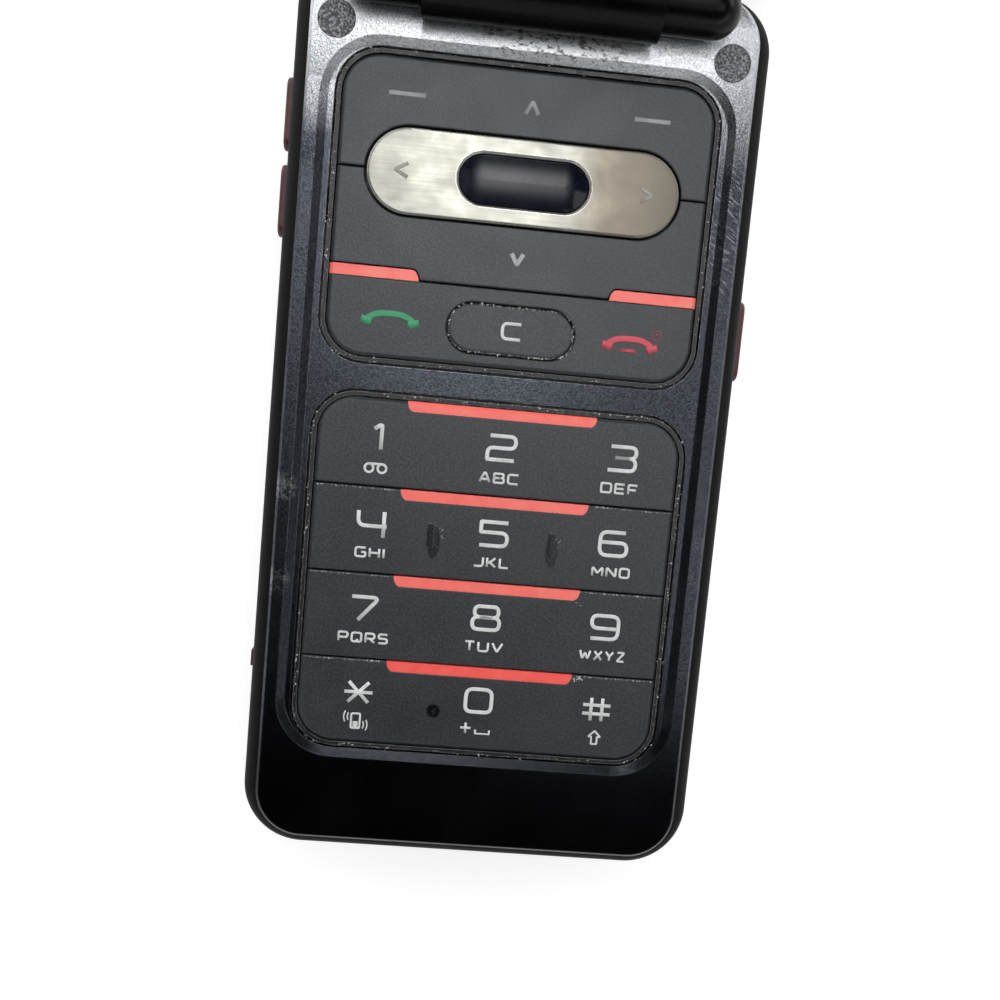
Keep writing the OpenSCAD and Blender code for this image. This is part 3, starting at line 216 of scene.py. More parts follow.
# %% One recipe for moulded pieces
def moulded(name, colour, worn, grain_mm, grain_depth_mm, rough, patch_mm=6.0,
            edge_mm=0.08, specular=0.5, edge_wear_and_highlight=0.0, worn_and_lit_edge="#6d6f73", speckled=0.3,
            fleck="#3a3b3e"):
    """A grained surface in two tones, with pale flecks of the grain's size."""
    material, tree, shader, place = start_material(name)
    patches = noise_mm(tree, place, patch_mm, 4.0, 0.6)
    grain = noise_mm(tree, place, grain_mm, 2.0, 0.6)
    tone = add(tree, "MapRange", (patches, 0.35, 0.7))
    speckle = all_of(tree, add(tree, "MapRange", (grain, 0.45, 0.62)), speckled)
    body = layered(tree, colour, (tone, worn), (speckle, fleck))
    # Pale broken edges: wear, and on the key mat's lips a painted highlight as well.
    if edge_wear_and_highlight:
        broken = noise_mask(tree, place, 0.7, 0.36, 0.56)
        body = layered(tree, body, (all_of(tree, edge_mask(tree, 0.12), broken, edge_wear_and_highlight),
                                    worn_and_lit_edge))
    fill(shader, {
        "Base Color": body, "Specular IOR Level": specular,
        "Roughness": add(tree, "MapRange", (patches, 0.3, 0.75, rough[0], rough[1])),
        "Normal": soft_edges(tree, edge_mm, grain, grain_depth_mm)})
    return material


# Polycarbonate keys under a soft clear coat: charcoal, satin, a fine even grain. The
# coat's own shine is a little blue.
keys = moulded("polycarbonate_keys_satin_coated", "#0a0b0d", "#121417", 0.26, 0.02,
               (0.4, 0.48), edge_mm=0.22, specular=0.78, speckled=0.6, fleck="#34383d")
fill(keys.node_tree.nodes["Principled BSDF"], {"Specular Tint": (0.93, 0.965, 1.0, 1.0)})
# The side band is a soft rubber, moulded over the case. It gives back hardly any light.
soft_band = moulded("thermoplastic_rubber_overmoulded", "#040404", "#080809", 0.16, 0.006,
                    (0.5, 0.65), edge_mm=0.2, specular=0.16, fleck="#121213")
# Plain ABS from a spark-eroded mould: an even fine grain, half matt.
black_abs = moulded("abs_spark_grained", "#0a0a0c", "#131416", 0.14, 0.008,
                    (0.45, 0.6), edge_mm=0.1, specular=0.3, edge_wear_and_highlight=0.12)
# Polished black ABS, dulled by wiping.
gloss_abs = moulded("abs_polished_black", "#020203", "#050506", 0.3, 0.0008,
                    (0.16, 0.34), patch_mm=9.0, edge_mm=0.15, specular=0.14, speckled=0.1,
                    fleck="#131416")
# The centre key is the same plastic, polished once more and wiped by every thumb.
polished_key = moulded("abs_centre_key_polished", "#080a12", "#10131f", 0.16, 0.0006,
                       (0.06, 0.2), patch_mm=3.0, edge_mm=0.05, specular=0.24, speckled=0.5,
                       fleck="#1d2130")
# Silicone rubber, as pressed for caps and key mats: dusty and dull.
silicone = moulded("silicone_rubber_pressed", "#0c0c0e", "#18191b", 0.12, 0.008,
                   (0.5, 0.7), patch_mm=2.0, edge_mm=0.12)
# The key mat's lips are the same rubber, shinier, with pale edges: partly wear, partly a painted
# highlight along the lips.
lip_rubber = moulded("silicone_mat_with_worn_and_lit_lips", "#08080a", "#131416", 0.12, 0.006,
                     (0.3, 0.5), patch_mm=2.0, edge_mm=0.14, edge_wear_and_highlight=0.85,
                     worn_and_lit_edge="#a6a9ad")
# Screw caps: the same rubber, greyer and with a coarse grain from use.
cap_rubber = moulded("rubber_caps_grained", "#26282b", "#45484d", 0.26, 0.06,
                     (0.38, 0.56), patch_mm=1.2, edge_mm=0.15, speckled=0.85, fleck="#a4a7ad")
# Dark red ABS of the side keys, satin, with fingers' polish on the middle.
red_abs = moulded("abs_dark_red_satin", "#3f0d13", "#571620", 0.12, 0.005,
                  (0.35, 0.5), patch_mm=2.5, edge_mm=0.15)
print("moulded materials made")

# %% [markdown]
# Thumbs leave marks at known places, so a finished material can be changed under a
# mask of its own. The two ribs beside the five stand above their cap: they are darker
# and glossier, and so is a ragged oval of 1.5 by 4 mm round each. A black spot beside
# the zero is bare plastic.

# %% Marks on the keys
def recoloured_under_mask(material, mask_of, colour, rough):
    """Changes the colour and the roughness of a finished material under a mask."""
    tree = material.node_tree
    shader = tree.nodes["Principled BSDF"]
    mask = mask_of(tree, tree.nodes["Texture Coordinate"].outputs["Object"])
    base, gloss = [shader.inputs[key].links[0].from_socket for key in ("Base Color", "Roughness")]
    fill(shader, {"Base Color": layered(tree, base, (mask, colour)),
                  "Roughness": add(tree, "Mix", (mask, gloss, rough))})


def on_ribs(tree, place):
    high = ramp_mm(tree, place, "Z", 12.21, 12.24)
    near = [spot(tree, place, (x, -12.75, 12.3), 2.2, 0.1) for x in (-6.85, 6.85)]
    return all_of(tree, high, add(tree, "Math", (near[0], near[1]), operation="ADD"))


def round_ribs(tree, place):
    ovals = []
    half_wide, half_long, middle_y = 0.75, 2.0, -13.1
    for middle_x in (-6.5, 6.93):
        squeezed = add(tree, "Mapping", {
            "Vector": place, "Scale": (1 / (half_wide * MM), 1 / (half_long * MM), 0),
            "Location": (-middle_x / half_wide, -middle_y / half_long, 0)})
        away = add(tree, "VectorMath", (squeezed,), operation="LENGTH")
        ovals.append(add(tree, "MapRange", (away, 1.08, 0.86)))
    on_the_row = ramp_mm(tree, place, "Y", -16, -15.5)
    ragged = noise_mask(tree, place, 0.4, 0.3, 0.42, 3.0)
    both = add(tree, "Math", (ovals[0], ovals[1]), operation="ADD")
    return all_of(tree, both, on_the_row, ragged)


def on_worn_spot(tree, place):
    ragged = noise_mask(tree, place, 0.5, 0.3, 0.45, 3.0, 0.6)
    return all_of(tree, spot(tree, place, (-4.9, -32.6, 12.2), 0.65, 0.25), ragged)


recoloured_under_mask(keys, round_ribs, "#050506", 0.24)
recoloured_under_mask(keys, on_ribs, "#0b0c0e", 0.2)
recoloured_under_mask(keys, on_worn_spot, "#030303", 0.2)
print("keys marked")

# %% [markdown]
# ## The painted frame
# The frame round the keypads is sprayed with a dark metallic paint: small
# aluminium flakes under a satin clear coat. It looks grey and grainy in the light
# and nearly black in the dark. Its colour also carries painted light: a pale silver
# highlight by the hinge, painted shade towards the low end, and a painted highlight
# along the rim, which years in pockets have also worn pale. The flakes come from a
# Voronoi pattern, the pale rim from the edge mask broken up by noise, and the
# scratches from a noise stretched into short slanting lines.

# %% Metallic paint with wear
SCUFFS = (((-23.4, 28.0, 12.3), 0.6, "#26282c"), ((-23.6, -8.3, 12.3), 0.9, "#9a9ca0"),
          ((-23.9, -18.9, 12.3), 1.1, "#85878b"), ((-23.5, 20.5, 12.3), 1.6, "#45474c"))


def metallic_paint(name):
    material, tree, shader, place = start_material(name)
    flakes = add(tree, "TexVoronoi", (place, 1 / (0.13 * MM)), "Color")
    sparkle = add(tree, "SeparateXYZ", (flakes,), "X")
    cloud = noise_mm(tree, place, 7.0, 4.0, 0.6)
    cloudy = all_of(tree, add(tree, "MapRange", (cloud, 0.4, 0.7)), 0.3)
    # Towards the low end the paint is painted darker: painted shade, for the dark that the low end
    # mirrors.
    painted_shade_low_end = ramp_mm(tree, place, "Y", -30, -40, 0.0, 0.7)
    # The strip in front of the lid's barrel is painted pale silver: a painted highlight, weaker at
    # its far right end.
    near_hinge = all_of(tree, ramp_mm(tree, place, "Y", 30, 43),
                        ramp_mm(tree, place, "X", 19, 21, 1.0, 0.6))
    silver_highlight = layered(tree, "#b6bac0", (sparkle, "#f2f4f7"))
    # In its middle the paint is pitted down to the primer.
    pits = noise_mask(tree, place, 0.45, 0.42, 0.5, 4.0, 0.75, (0.6, 1, 1))
    torn = noise_mask(tree, place, 2.2, 0.36, 0.46, 4.0, 0.6, (0.5, 1.5, 1))
    patch = all_of(tree, spot(tree, place, (1.5, 41.4, 12.3), 6.5, 3.5),
                   ramp_mm(tree, place, "Y", 40.2, 40.9), torn, 0.8)
    pitted = layered(tree, "#202123", (pits, "#d4d5d6"))
    paint = layered(tree, "#2c2f35", (sparkle, "#52555c"), (cloudy, "#303338"),
                    (painted_shade_low_end, "#161517"), (near_hinge, silver_highlight), (patch, pitted))
    # Scuffs on the left rim.
    speck = noise_mask(tree, place, 0.5, 0.46, 0.54)
    for centre, size, tone in SCUFFS:
        scuff = all_of(tree, spot(tree, place, centre, size, 0.9), speck, 0.7)
        paint = layered(tree, paint, (scuff, tone))
    # Pale edges, partly bare paint and partly a painted highlight, fading towards the low end as
    # the light does. Slanting scratches on the right rim.
    chips = noise_mask(tree, place, 0.6, 0.4, 0.56, 4.0, 0.65)
    fading_with_the_light = ramp_mm(tree, place, "Y", -30, 0, 0.15)
    worn_and_lit_edges = all_of(tree, edge_mask(tree, 0.16), chips, 0.7, fading_with_the_light)
    slanting = add(tree, "Mapping", (place, (0, 0, 0), (0, 0, math.radians(35))))
    scored = noise_mask(tree, slanting, 0.32, 0.56, 0.64, 2.0, 0.5, (0.3, 2.2, 1))
    scratches = all_of(tree, scored, ramp_mm(tree, place, "X", 20.5, 21.5),
                       spot(tree, place, (22.5, 24.5, 12.3), 6.0, 3.0), 0.3)
    worn = add(tree, "Math", (worn_and_lit_edges, scratches), operation="MAXIMUM")
    # The strip by the hinge rises by a hair towards the barrel, which turns its mirror
    # image up to the lamps. It is far too little to see as a shape.
    rise = ramp_mm(tree, place, "Y", 36, 46, 0.0, 1.2)
    pebbled = add(tree, "Math", (near_hinge, 0.03, 0.012), operation="MULTIPLY_ADD")
    grain = all_of(tree, noise_mm(tree, place, 0.2, 2.0, 0.6), pebbled)
    height = add(tree, "Math", (grain, rise), operation="ADD")
    satin = add(tree, "MapRange", (cloud, 0.3, 0.7, 0.2, 0.27))
    rougher = all_of(tree, near_hinge, 0.08)
    fill(shader, {
        "Metallic": 1.0, "Base Color": layered(tree, paint, (worn, "#b5b7ba")),
        "Roughness": add(tree, "Math", (satin, rougher), operation="ADD"),
        "Normal": soft_edges(tree, 0.18, height, 1.0)})
    return material


frame_paint = metallic_paint("metallic_paint_sprayed_worn_and_lit")
print("paint mixed")

# %% [markdown]
# ## Metals
# The long navigation plate is stainless steel brushed along its length. Brushing
# leaves thousands of fine parallel grooves, which smear reflections across them:
# that is anisotropy, and the tangent says which way the smear runs. It is why the
# plate shows upright bands of light. A few coarser grooves are drawn in colour.

# %% Brushed steel, plain metals and gold
def metal(name, dark, bright, rough, brushed=None, line_mm=0.4, depth_mm=0.002,
          anisotropic=0.0, edge_mm=0.08, tarnish_and_shade=None):
    material, tree, shader, place = start_material(name)
    lines = noise_mm(tree, place, line_mm, 3.0, 0.6, brushed)
    colour = layered(tree, dark, (add(tree, "MapRange", (lines, 0.35, 0.65)), bright))
    if tarnish_and_shade:
        # A darker tan along one stretch of X: tarnish, and painted shade where the light ends.
        x_from, x_to, tan = tarnish_and_shade
        tan_and_shade = ramp_mm(tree, place, "X", x_from, x_to)
        colour = layered(tree, colour, (tan_and_shade, tan))
    haze = noise_mm(tree, place, 3.0, 3.0, 0.6)
    fill(shader, {
        "Metallic": 1.0, "Base Color": colour, "Anisotropic": anisotropic,
        "Roughness": add(tree, "MapRange", (haze, 0.3, 0.7, rough - 0.05, rough + 0.07)),
        "Normal": soft_edges(tree, edge_mm, lines, depth_mm)})
    if anisotropic:
        fill(shader, {"Tangent": add(tree, "CombineXYZ", {"Y": 1.0})})
    return material


# The plate's right end is painted a darker tan: partly a veil left by fingers, partly painted
# shade where the light above ends.
plate_steel = metal("stainless_steel_brushed_lengthwise", "#87877f", "#92928a", 0.3,
                    brushed=(0.04, 1.3, 1), line_mm=0.24, depth_mm=0.0002,
                    anisotropic=0.75, edge_mm=0.16, tarnish_and_shade=(5.0, 8.4, "#7b756a"))
# The bevel round it is painted near-white: a painted highlight along the edge.
recoloured_under_mask(plate_steel, lambda tree, place: edge_mask(tree, 0.34), "#f6f6f0", 0.22)
zinc_steel = metal("zinc_plated_steel", "#8a8c8f", "#b4b6b8", 0.38, line_mm=0.5)
blackened_steel = metal("steel_screws_blackened", "#17181a", "#2b2c2f", 0.36, line_mm=0.3)
ground_steel = metal("steel_shaft_ground", "#9c9c9a", "#c4c3bf", 0.22,
                     brushed=(4, 0.3, 0.3), line_mm=0.5)
nickel = metal("nickel_silver_stamped", "#a5a49c", "#c2c1b8", 0.3, line_mm=0.8)
gold_plate = metal("gold_plating_on_springs", "#c09a3e", "#e2c169", 0.22, line_mm=0.5)
magnet_metal = metal("neodymium_nickel_plated", "#9b9b98", "#bdbdb8", 0.2, line_mm=0.6)
print("metals made")

# %% [markdown]
# ## Red inlays
# A strip of translucent red plastic is pressed into the upper edge of each row of
# keys. Light enters it and comes back as a warm glow: a little subsurface scattering
# does that. Dirt has eaten the lower edge of the strips, which shows as a ragged dark
# line. The lowest strip is a darker copy of the same red: painted shade, for the
# dimmer light at the phone's low end.

# %% Translucent red
def red_inlay(name, bright, deep):
    material, tree, shader, place = start_material(name)
    cloud = noise_mm(tree, place, 2.2, 3.0, 0.6)
    nibbled = noise_mask(tree, place, 0.35, 0.5, 0.62, 3.0)
    dirt = all_of(tree, edge_mask(tree, 0.16), nibbled, 0.8)
    fine = noise_mm(tree, place, 0.25, 2.0, 0.6)
    fill(shader, {
        "Base Color": layered(tree, bright, (add(tree, "MapRange", (cloud, 0.35, 0.7)),
                                             deep), (dirt, "#3a1512")),
        "Subsurface Weight": 0.25, "Subsurface Radius": (1.0, 0.25, 0.15),
        "Subsurface Scale": 0.4 * MM,
        "Roughness": add(tree, "MapRange", (cloud, 0.3, 0.7, 0.28, 0.42)),
        "Normal": soft_edges(tree, 0.1, fine, 0.006)})
    return material


inlay_red = red_inlay("polycarbonate_inlay_red", "#ff8074", "#ff6c62")
# The darker copy for the lowest strip is painted shade, for the dimmer light there.
inlay_red_shaded = red_inlay("polycarbonate_inlay_red_shaded", "#ff6a60", "#fb5850")
print("inlay materials made")

# %% [markdown]
# ## Windows and displays
# The windows are clear acrylic, printed black on the back round the view of the
# display. The border is made by a mask on the window's own place, so the lid's slant
# is taken away first: the open lid leans 160 degrees from shut, and a Mapping node
# turns each point back to where it is when the lid is shut.

# %% The lid's own frame
hinge = next(j for j in frame["joints"] if j["name"] == "lid_hinge")
HINGE_AT = Vector(hinge["pos_m"])
OPEN_ANGLE = math.radians(160)
opened = (Matrix.Translation(HINGE_AT) @ Matrix.Rotation(-OPEN_ANGLE, 4, "X")
          @ Matrix.Translation(-HINGE_AT))
shut_again = opened.inverted()


def shut_place(tree, place):
    """Object coordinates as they are with the lid shut."""
    return add(tree, "Mapping", (place, shut_again.translation, (OPEN_ANGLE, 0, 0)))


print("lid hinge at", [round(v / MM, 1) for v in HINGE_AT])

# %% [markdown]
# A window's view is a rectangle: a point is inside when it is near enough to the
# middle both across and along.

# %% Windows with a printed border, and switched-off displays
BORDER_SOFT = 0.1        # mm over which the printed border fades


def window(name, half_w_mm, low_y_mm, high_y_mm):
    material, tree, shader, place = start_material(name)
    shut = shut_place(tree, place)
    sides = []
    for axis, middle, half in (("X", 0.0, half_w_mm),
                               ("Y", (low_y_mm + high_y_mm) / 2, (high_y_mm - low_y_mm) / 2)):
        off = add(tree, "Math", (add(tree, "SeparateXYZ", (shut,), axis), middle * MM),
                  operation="SUBTRACT")
        far = add(tree, "Math", (off,), operation="ABSOLUTE")
        sides.append(add(tree, "MapRange", (far, (half + BORDER_SOFT) * MM, half * MM)))
    inside = all_of(tree, *sides)
    smear = noise_mm(tree, place, 8.0, 4.0, 0.6)
    fill(shader, {
        "Base Color": layered(tree, "#060607", (inside, "#f4f6f6")),
        "Transmission Weight": inside, "IOR": 1.49, "Specular IOR Level": 0.25,
        "Roughness": add(tree, "MapRange", (smear, 0.35, 0.75, 0.02, 0.09)),
        "Normal": soft_edges(tree, 0.12)})
    return material


def display(name, colour, tint):
    material, tree, shader, place = start_material(name)
    stripes = add(tree, "TexWave", (shut_place(tree, place), 1 / (0.8 * MM)), "Fac",
                  bands_direction="X")
    fill(shader, {
        "Base Color": layered(tree, colour, (all_of(tree, stripes, 0.25), tint)),
        "Roughness": 0.25, "Normal": soft_edges(tree, 0.1)})
    return material


display_off = display("liquid_crystal_display_off", "#0c0e11", "#1b2026")
print("window and display materials made")

# %% [markdown]
# ## The pieces inside
# A green circuit board, plated cans, a wrapped battery and thin amber film hide
# under the covers. They show only through gaps, but each gets its real finish.

# %% Circuit board, film and battery wrap
def circuit_board(name):
    material, tree, shader, place = start_material(name)
    tracks = add(tree, "TexBrick", (place, "#0b3d22", "#0d4426", "#17683c", 1 / (4.0 * MM), 0.07),
                 offset=0.35)
    pads = add(tree, "TexVoronoi", (place, 1 / (1.6 * MM)))
    pad = add(tree, "MapRange", (pads, 0.2, 0.16))
    fill(shader, {
        "Base Color": layered(tree, tracks, (pad, "#b8974a")),
        "Roughness": add(tree, "MapRange", (pad, 0.0, 1.0, 0.35, 0.25)),
        "Normal": soft_edges(tree, 0.08, pad, 0.02)})
    return material


board_green = circuit_board("glass_epoxy_board_solder_masked")
amber = moulded("polyimide_film_amber", "#8a4f16", "#a8651f", 0.5, 0.002, (0.3, 0.4))
wrap = moulded("battery_wrap_printed_film", "#232427", "#2c2d31", 0.3, 0.003, (0.4, 0.55))
print("inner materials made")

# %% [markdown]
# ## Dressing the pieces
# Every CAD piece now gets its finish. Only the material slots change: the meshes
# and places stay exactly as they were packed. In a table of finishes and pieces, a
# missing name shows at once.

# %% One finish for every piece
FINISHES = {
    frame_paint: "front_case",
    soft_band: "rear_case",
    black_abs: "battery_door lid_inner_case lid_outer_case antenna loudspeaker side_switches",
    gloss_abs: "hinge_knuckles barrel_cover camera_module",
    polished_key: "ok_key",
    silicone: "lid_bumpers lid_screw_caps",
    lip_rubber: "keypad_mat",
    cap_rubber: "screw_caps",
    keys: "soft_key_strip down_key_strip call_strip clear_key "
          "key_row_1 key_row_2 key_row_3 key_row_4",
    red_abs: "volume_up_key volume_down_key side_key port_cover",
    inlay_red: "call_inlays inlay_1 inlay_2 inlay_3",
    inlay_red_shaded: "inlay_4",
    plate_steel: "nav_plate",
    zinc_steel: "shield_cans sim_holder vibration_motor port_connector camera_ring",
    nickel: "dome_sheet earpiece_mesh earpiece microphone",
    blackened_steel: "case_screws lid_screws",
    ground_steel: "hinge_shaft hinge_pin hinge_cartridge",
    gold_plate: "battery_contacts",
    magnet_metal: "lid_magnet",
    board_green: "main_board lid_board",
    amber: "hinge_flex",
    wrap: "battery",
    display_off: "main_display outer_display",
    window("acrylic_main_window", 18.4, -31.0, 19.4): "main_window",
    window("acrylic_outer_window", 12.6, -4.9, 16.3): "outer_window",
    window("acrylic_camera_cover", 9.0, -60.0, 60.0): "camera_glass",
}
undressed = set(frame["nodes"])
for finish, names in FINISHES.items():
    for name in names.split():
        for slot in frame["nodes"][name].material_slots:
            slot.material = finish
        undressed.remove(name)
assert not undressed, undressed
print(len(frame["nodes"]), "pieces dressed")

# %% [markdown]
# ## Printed legends
# The numbers and letters are pad-printed in a wide, squared hand. A text object would
# bring a font of its own, so each sign is drawn the way a pen draws it: a few strokes
# through corner points in a unit box, with the corners rounded to a real radius.

# %% The hand: strokes of every sign, in a box from -0.5 to 0.5 across and 0 to 1 up
# The box's corners are top or bottom, left or right. Those with a 1 are sharp.
TL, TR, BL, BR = (-.5, 1), (.5, 1), (-.5, 0), (.5, 0)
TL1, TR1, BL1, BR1 = [corner + (.1,) for corner in (TL, TR, BL, BR)]
SIGNS = {
    "1": [[(-.17, .84), (.02, 1), (.1, 1), (.1, 0)]],
    "2": [[(-.44, 1), TR, (.5, .5), (-.5, .5), BL1, (.48, 0)]],
    "3": [[(-.44, 1), TR, (.5, .53), (-.26, .53)],
          [(-.26, .53), (.5, .53), BR, BL]],
    "4": [[TL, (-.5, .42), (.54, .42)], [(.43, 1), (.43, 0)]],
    "5": [[TR, (-.48, 1, .1), (-.48, .56, .1), (.5, .56), BR, BL]],
    "6": [[(.42, 1), TL, BL, BR, (.5, .56), (-.46, .56)]],
    "7": [[TL, (.5, 1, .35), (-.24, 0)]],
    "8": [[(0, .53), (.44, .53), (.44, 1), (-.44, 1), (-.44, .53), (0, .53)],
          [(0, 0), BR, (.5, .53), (-.5, .53), BL, (0, 0)]],
    "9": [[BL, BR, TR, TL, (-.5, .45), (.46, .45)]],
    "0": [[(0, 0), (.48, 0), (.48, 1), (-.48, 1), (-.48, 0), (0, 0)]],
    "*": [[(-.5, .5), (.5, .5)], [(-.36, .06), (.36, .94)], [(-.36, .94), (.36, .06)]],
    "#": [[(-.2, 0), (-.2, 1)], [(.2, 0), (.2, 1)], [(-.5, .68), (.5, .68)],
          [(-.5, .3), (.5, .3)]],
    "A": [[BL, (-.07, 1, .1), (.07, 1, .1), BR], [(-.3, .3), (.3, .3)]],
    "B": [[(.1, .52), (-.5, .52), BL1, BR, (.5, .52), (0, .52)],
          [(0, .52), (.44, .52), (.44, 1), TL1, (-.5, .4)]],
    "C": [[TR, TL, BL, BR]], "D": [[(0, 0), BL1, TL1, TR, BR, (0, 0)]],
    "E": [[TR, TL1, BL1, BR], [(-.5, .5), (.42, .5)]],
    "F": [[TR, TL1, BL], [(-.5, .47), (.36, .47)]],
    "G": [[TR, TL, BL, BR, (.5, .5, .1), (.06, .5)]],
    "H": [[BL, TL], [BR, TR], [(-.5, .5), (.5, .5)]], "I": [[(0, 0), (0, 1)]],
    "J": [[TR, BR, BL]],
    "K": [[BL, TL], [(.44, 1), (-.2, .5, .1), BR], [(-.5, .5), (-.2, .5)]],
    "L": [[TL, BL1, BR]], "M": [[BL, TL1, (0, .3, .1), TR1, BR]], "N": [[BL, TL1, BR1, TR]],
    "O": [[(0, 0), BR, TR, TL, BL, (0, 0)]], "P": [[BL, TL1, TR, (.5, .42), (-.4, .42)]],
    "Q": [[(0, 0), BR, TR, TL, BL, (0, 0)], [(.06, .3), (.06, -.1)]],
    "R": [[BL, TL1, TR, (.5, .42), (-.4, .42)], [(0, .42), BR]],
    "S": [[TR, TL, (-.5, .52), (.5, .52), BR, BL]], "T": [[TL, TR], [(0, 1), (0, 0)]],
    "U": [[TL, BL, BR, TR]], "V": [[TL, (0, 0, .1), TR]],
    "W": [[TL, (-.26, 0, .1), (0, .8, .1), (.26, 0, .1), TR]], "X": [[TL, BR], [TR, BL]],
    "Y": [[TL, (0, .45, .1), TR], [(0, .45), (0, 0)]], "Z": [[TL, TR1, BL1, BR]],
}
print("signs", len(SIGNS))

# %% [markdown]
# A stroke's corner is rounded by a curve that touches both sides. It is made smaller
# where a side is too short for it.

# %% From corner points to a rounded path, in millimetres
def rounded(points, radius, steps=5):
    """The path through the points with its inner corners rounded. A third number
    in a point is that corner's own radius."""
    flat = [Vector(p[:2]) for p in points]
    path = [flat[0]]
    for i in range(1, len(flat) - 1):
        here, back, on = flat[i], flat[i - 1] - flat[i], flat[i + 1] - flat[i]
        own = points[i][2] if len(points[i]) > 2 else radius
        turn = math.pi - back.angle(on)
        if turn < 0.02 or own <= 0:
            path.append(here)
            continue
        cut = min(own * math.tan(turn / 2), 0.49 * back.length, 0.49 * on.length)
        start, end = here + back.normalized() * cut, here + on.normalized() * cut
        for k in range(steps + 1):
            t = k / steps
            path.append((1 - t) ** 2 * start + 2 * t * (1 - t) * here + t ** 2 * end)
    path.append(flat[-1])
    return path


def sign_paths(sign, centre, width, height, radius):
    """The strokes of one sign, placed with the middle of its box at centre."""
    paths = []
    for stroke in SIGNS[sign]:
        placed = []
        for point in stroke:
            corner = (centre[0] + point[0] * width, centre[1] + (point[1] - 0.5) * height)
            placed.append(corner + tuple(point[2:]))
        paths.append(rounded(placed, radius))
    return paths

print("strokes in an 8", len(sign_paths("8", (0, 0), 1, 1, 0.1)))

# %% [markdown]
# A stroke becomes a thin tube along a curve and the tube becomes a mesh. A bmesh
# scale presses it flat into a film of ink: its lower half sinks into the key and its
# upper half stands up 0.02 mm, enough for the light to find its edge.

# %% From paths to ink
INK_HIGH = 0.02


def from_bmesh(name, made, material, smooth=True):
    """Turns a bmesh into an object with its finish."""
    mesh = bpy.data.meshes.new(name)
    made.to_mesh(mesh)
    made.free()
    mesh.materials.append(material)
    for face in mesh.polygons:
        face.use_smooth = smooth
    return shown(name, mesh)


def ink(name, jobs, top_mm, material, body):
    """One printed piece. Each job is a list of paths and their stroke's width."""
    curve = bpy.data.curves.new(name, "CURVE")
    curve.dimensions = "3D"
    curve.bevel_depth = 1.0
    curve.bevel_resolution = 2
    curve.use_fill_caps = True
    for paths, width in jobs:
        for path in paths:
            spline = curve.splines.new("POLY")
            spline.points.add(len(path) - 1)
            for point, (x, y) in zip(spline.points, path):
                point.co = (x, y, 0, 1)
                point.radius = width / 2
    tube = shown(name + "_curve", curve)
    bpy.context.view_layer.update()
    tube_mesh = bpy.data.meshes.new_from_object(
        tube.evaluated_get(bpy.context.evaluated_depsgraph_get()))
    bpy.data.objects.remove(tube)
    made = bmesh.new()
    made.from_mesh(tube_mesh)
    bpy.data.meshes.remove(tube_mesh)
    bmesh.ops.remove_doubles(made, verts=made.verts, dist=0.0005)
    tallest = max(v.co.z for v in made.verts)
    bmesh.ops.scale(made, vec=(1, 1, INK_HIGH / tallest), verts=made.verts)
    bmesh.ops.translate(made, vec=(0, 0, top_mm), verts=made.verts)
    bmesh.ops.scale(made, vec=(MM, MM, MM), verts=made.verts)
    bmesh.ops.recalc_face_normals(made, faces=made.faces)
    piece = from_bmesh(name, made, material)
    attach(piece, body)


# %% [markdown]
# Pad-printing ink is nearly matt, and thin enough in places for the key to show.

# %% The inks
def printing_ink(name, colour, thin):
    material, tree, shader, place = start_material(name)
    worn = noise_mask(tree, place, 0.9, 0.42, 0.75)
    film = noise_mm(tree, place, 0.2, 2.0, 0.6)
    fill(shader, {
        "Base Color": layered(tree, colour, (all_of(tree, worn, 0.35), thin)),
        "Roughness": 0.5, "Normal": soft_edges(tree, 0.03, film, 0.003)})
    return material


white_ink = printing_ink("pad_printing_ink_white", "#dfe3e1", "#8d9092")
grey_ink = printing_ink("pad_printing_ink_grey", "#a9adad", "#6d7072")
green_ink = printing_ink("pad_printing_ink_green", "#3d9a6b", "#27664a")
red_ink = printing_ink("pad_printing_ink_red", "#d2505c", "#8c3841")
dim_red_ink = printing_ink("pad_printing_ink_dim_red", "#82424a", "#53292f")
# The arrows on the steel are etched: dull grey where the acid has bitten.
etched = printing_ink("etched_steel_grey", "#a3a097", "#84817a")
print("inks mixed")

# %% [markdown]
# ## Where the legends sit
# All places are read off the photograph, in millimetres from the phone's low end.
# Each row of keys is one moulded cap, so it has one printed piece that rides on the
# same body. The top row also has a tape sign, and the lowest a ringing phone, a plus
# with a space bar, and an arrow.

# %% Sizes, words and drawn signs
LOW_END = -49.8
KEY_TOP = 12.2
COLUMNS = (-13.55, 0.2, 13.9)
# A number's width, height and stroke.
DIGIT = (3.1, 2.68, 0.45)
OTHER_DIGITS = {"4": (3.1, 2.9, 0.45), "*": (3.2, 2.7, 0.4), "#": (3.2, 2.7, 0.4)}
LETTER_HIGH, LETTER_STROKE, LETTER_GAP, LETTER_WIDE = 1.02, 0.26, 0.22, 1.05
OTHER_WIDTHS = {letter: width for width, letters in {
    0.05: "I", 0.82: "Z", 0.85: "XY", 0.95: "S", 0.97: "KL", 0.98: "J", 1.0: "FPR", 1.03: "E",
    1.08: "Q", 1.1: "U", 1.12: "ABCDG", 1.15: "MV", 1.18: "W"}.items() for letter in letters}


def at(x, y):
    """A place on the phone, with y in millimetres from its low end."""
    return (x, y + LOW_END)


def word_paths(word, centre):
    """A letter group set in a line, middle at centre."""
    widths = [OTHER_WIDTHS.get(c, LETTER_WIDE) for c in word]
    total = sum(widths) + (LETTER_GAP + LETTER_STROKE) * (len(word) - 1)
    x = centre[0] - total / 2
    paths = []
    for sign, width in zip(word, widths):
        paths += sign_paths(sign, (x + width / 2, centre[1]), width, LETTER_HIGH, 0.3)
        x += width + LETTER_GAP + LETTER_STROKE
    return paths


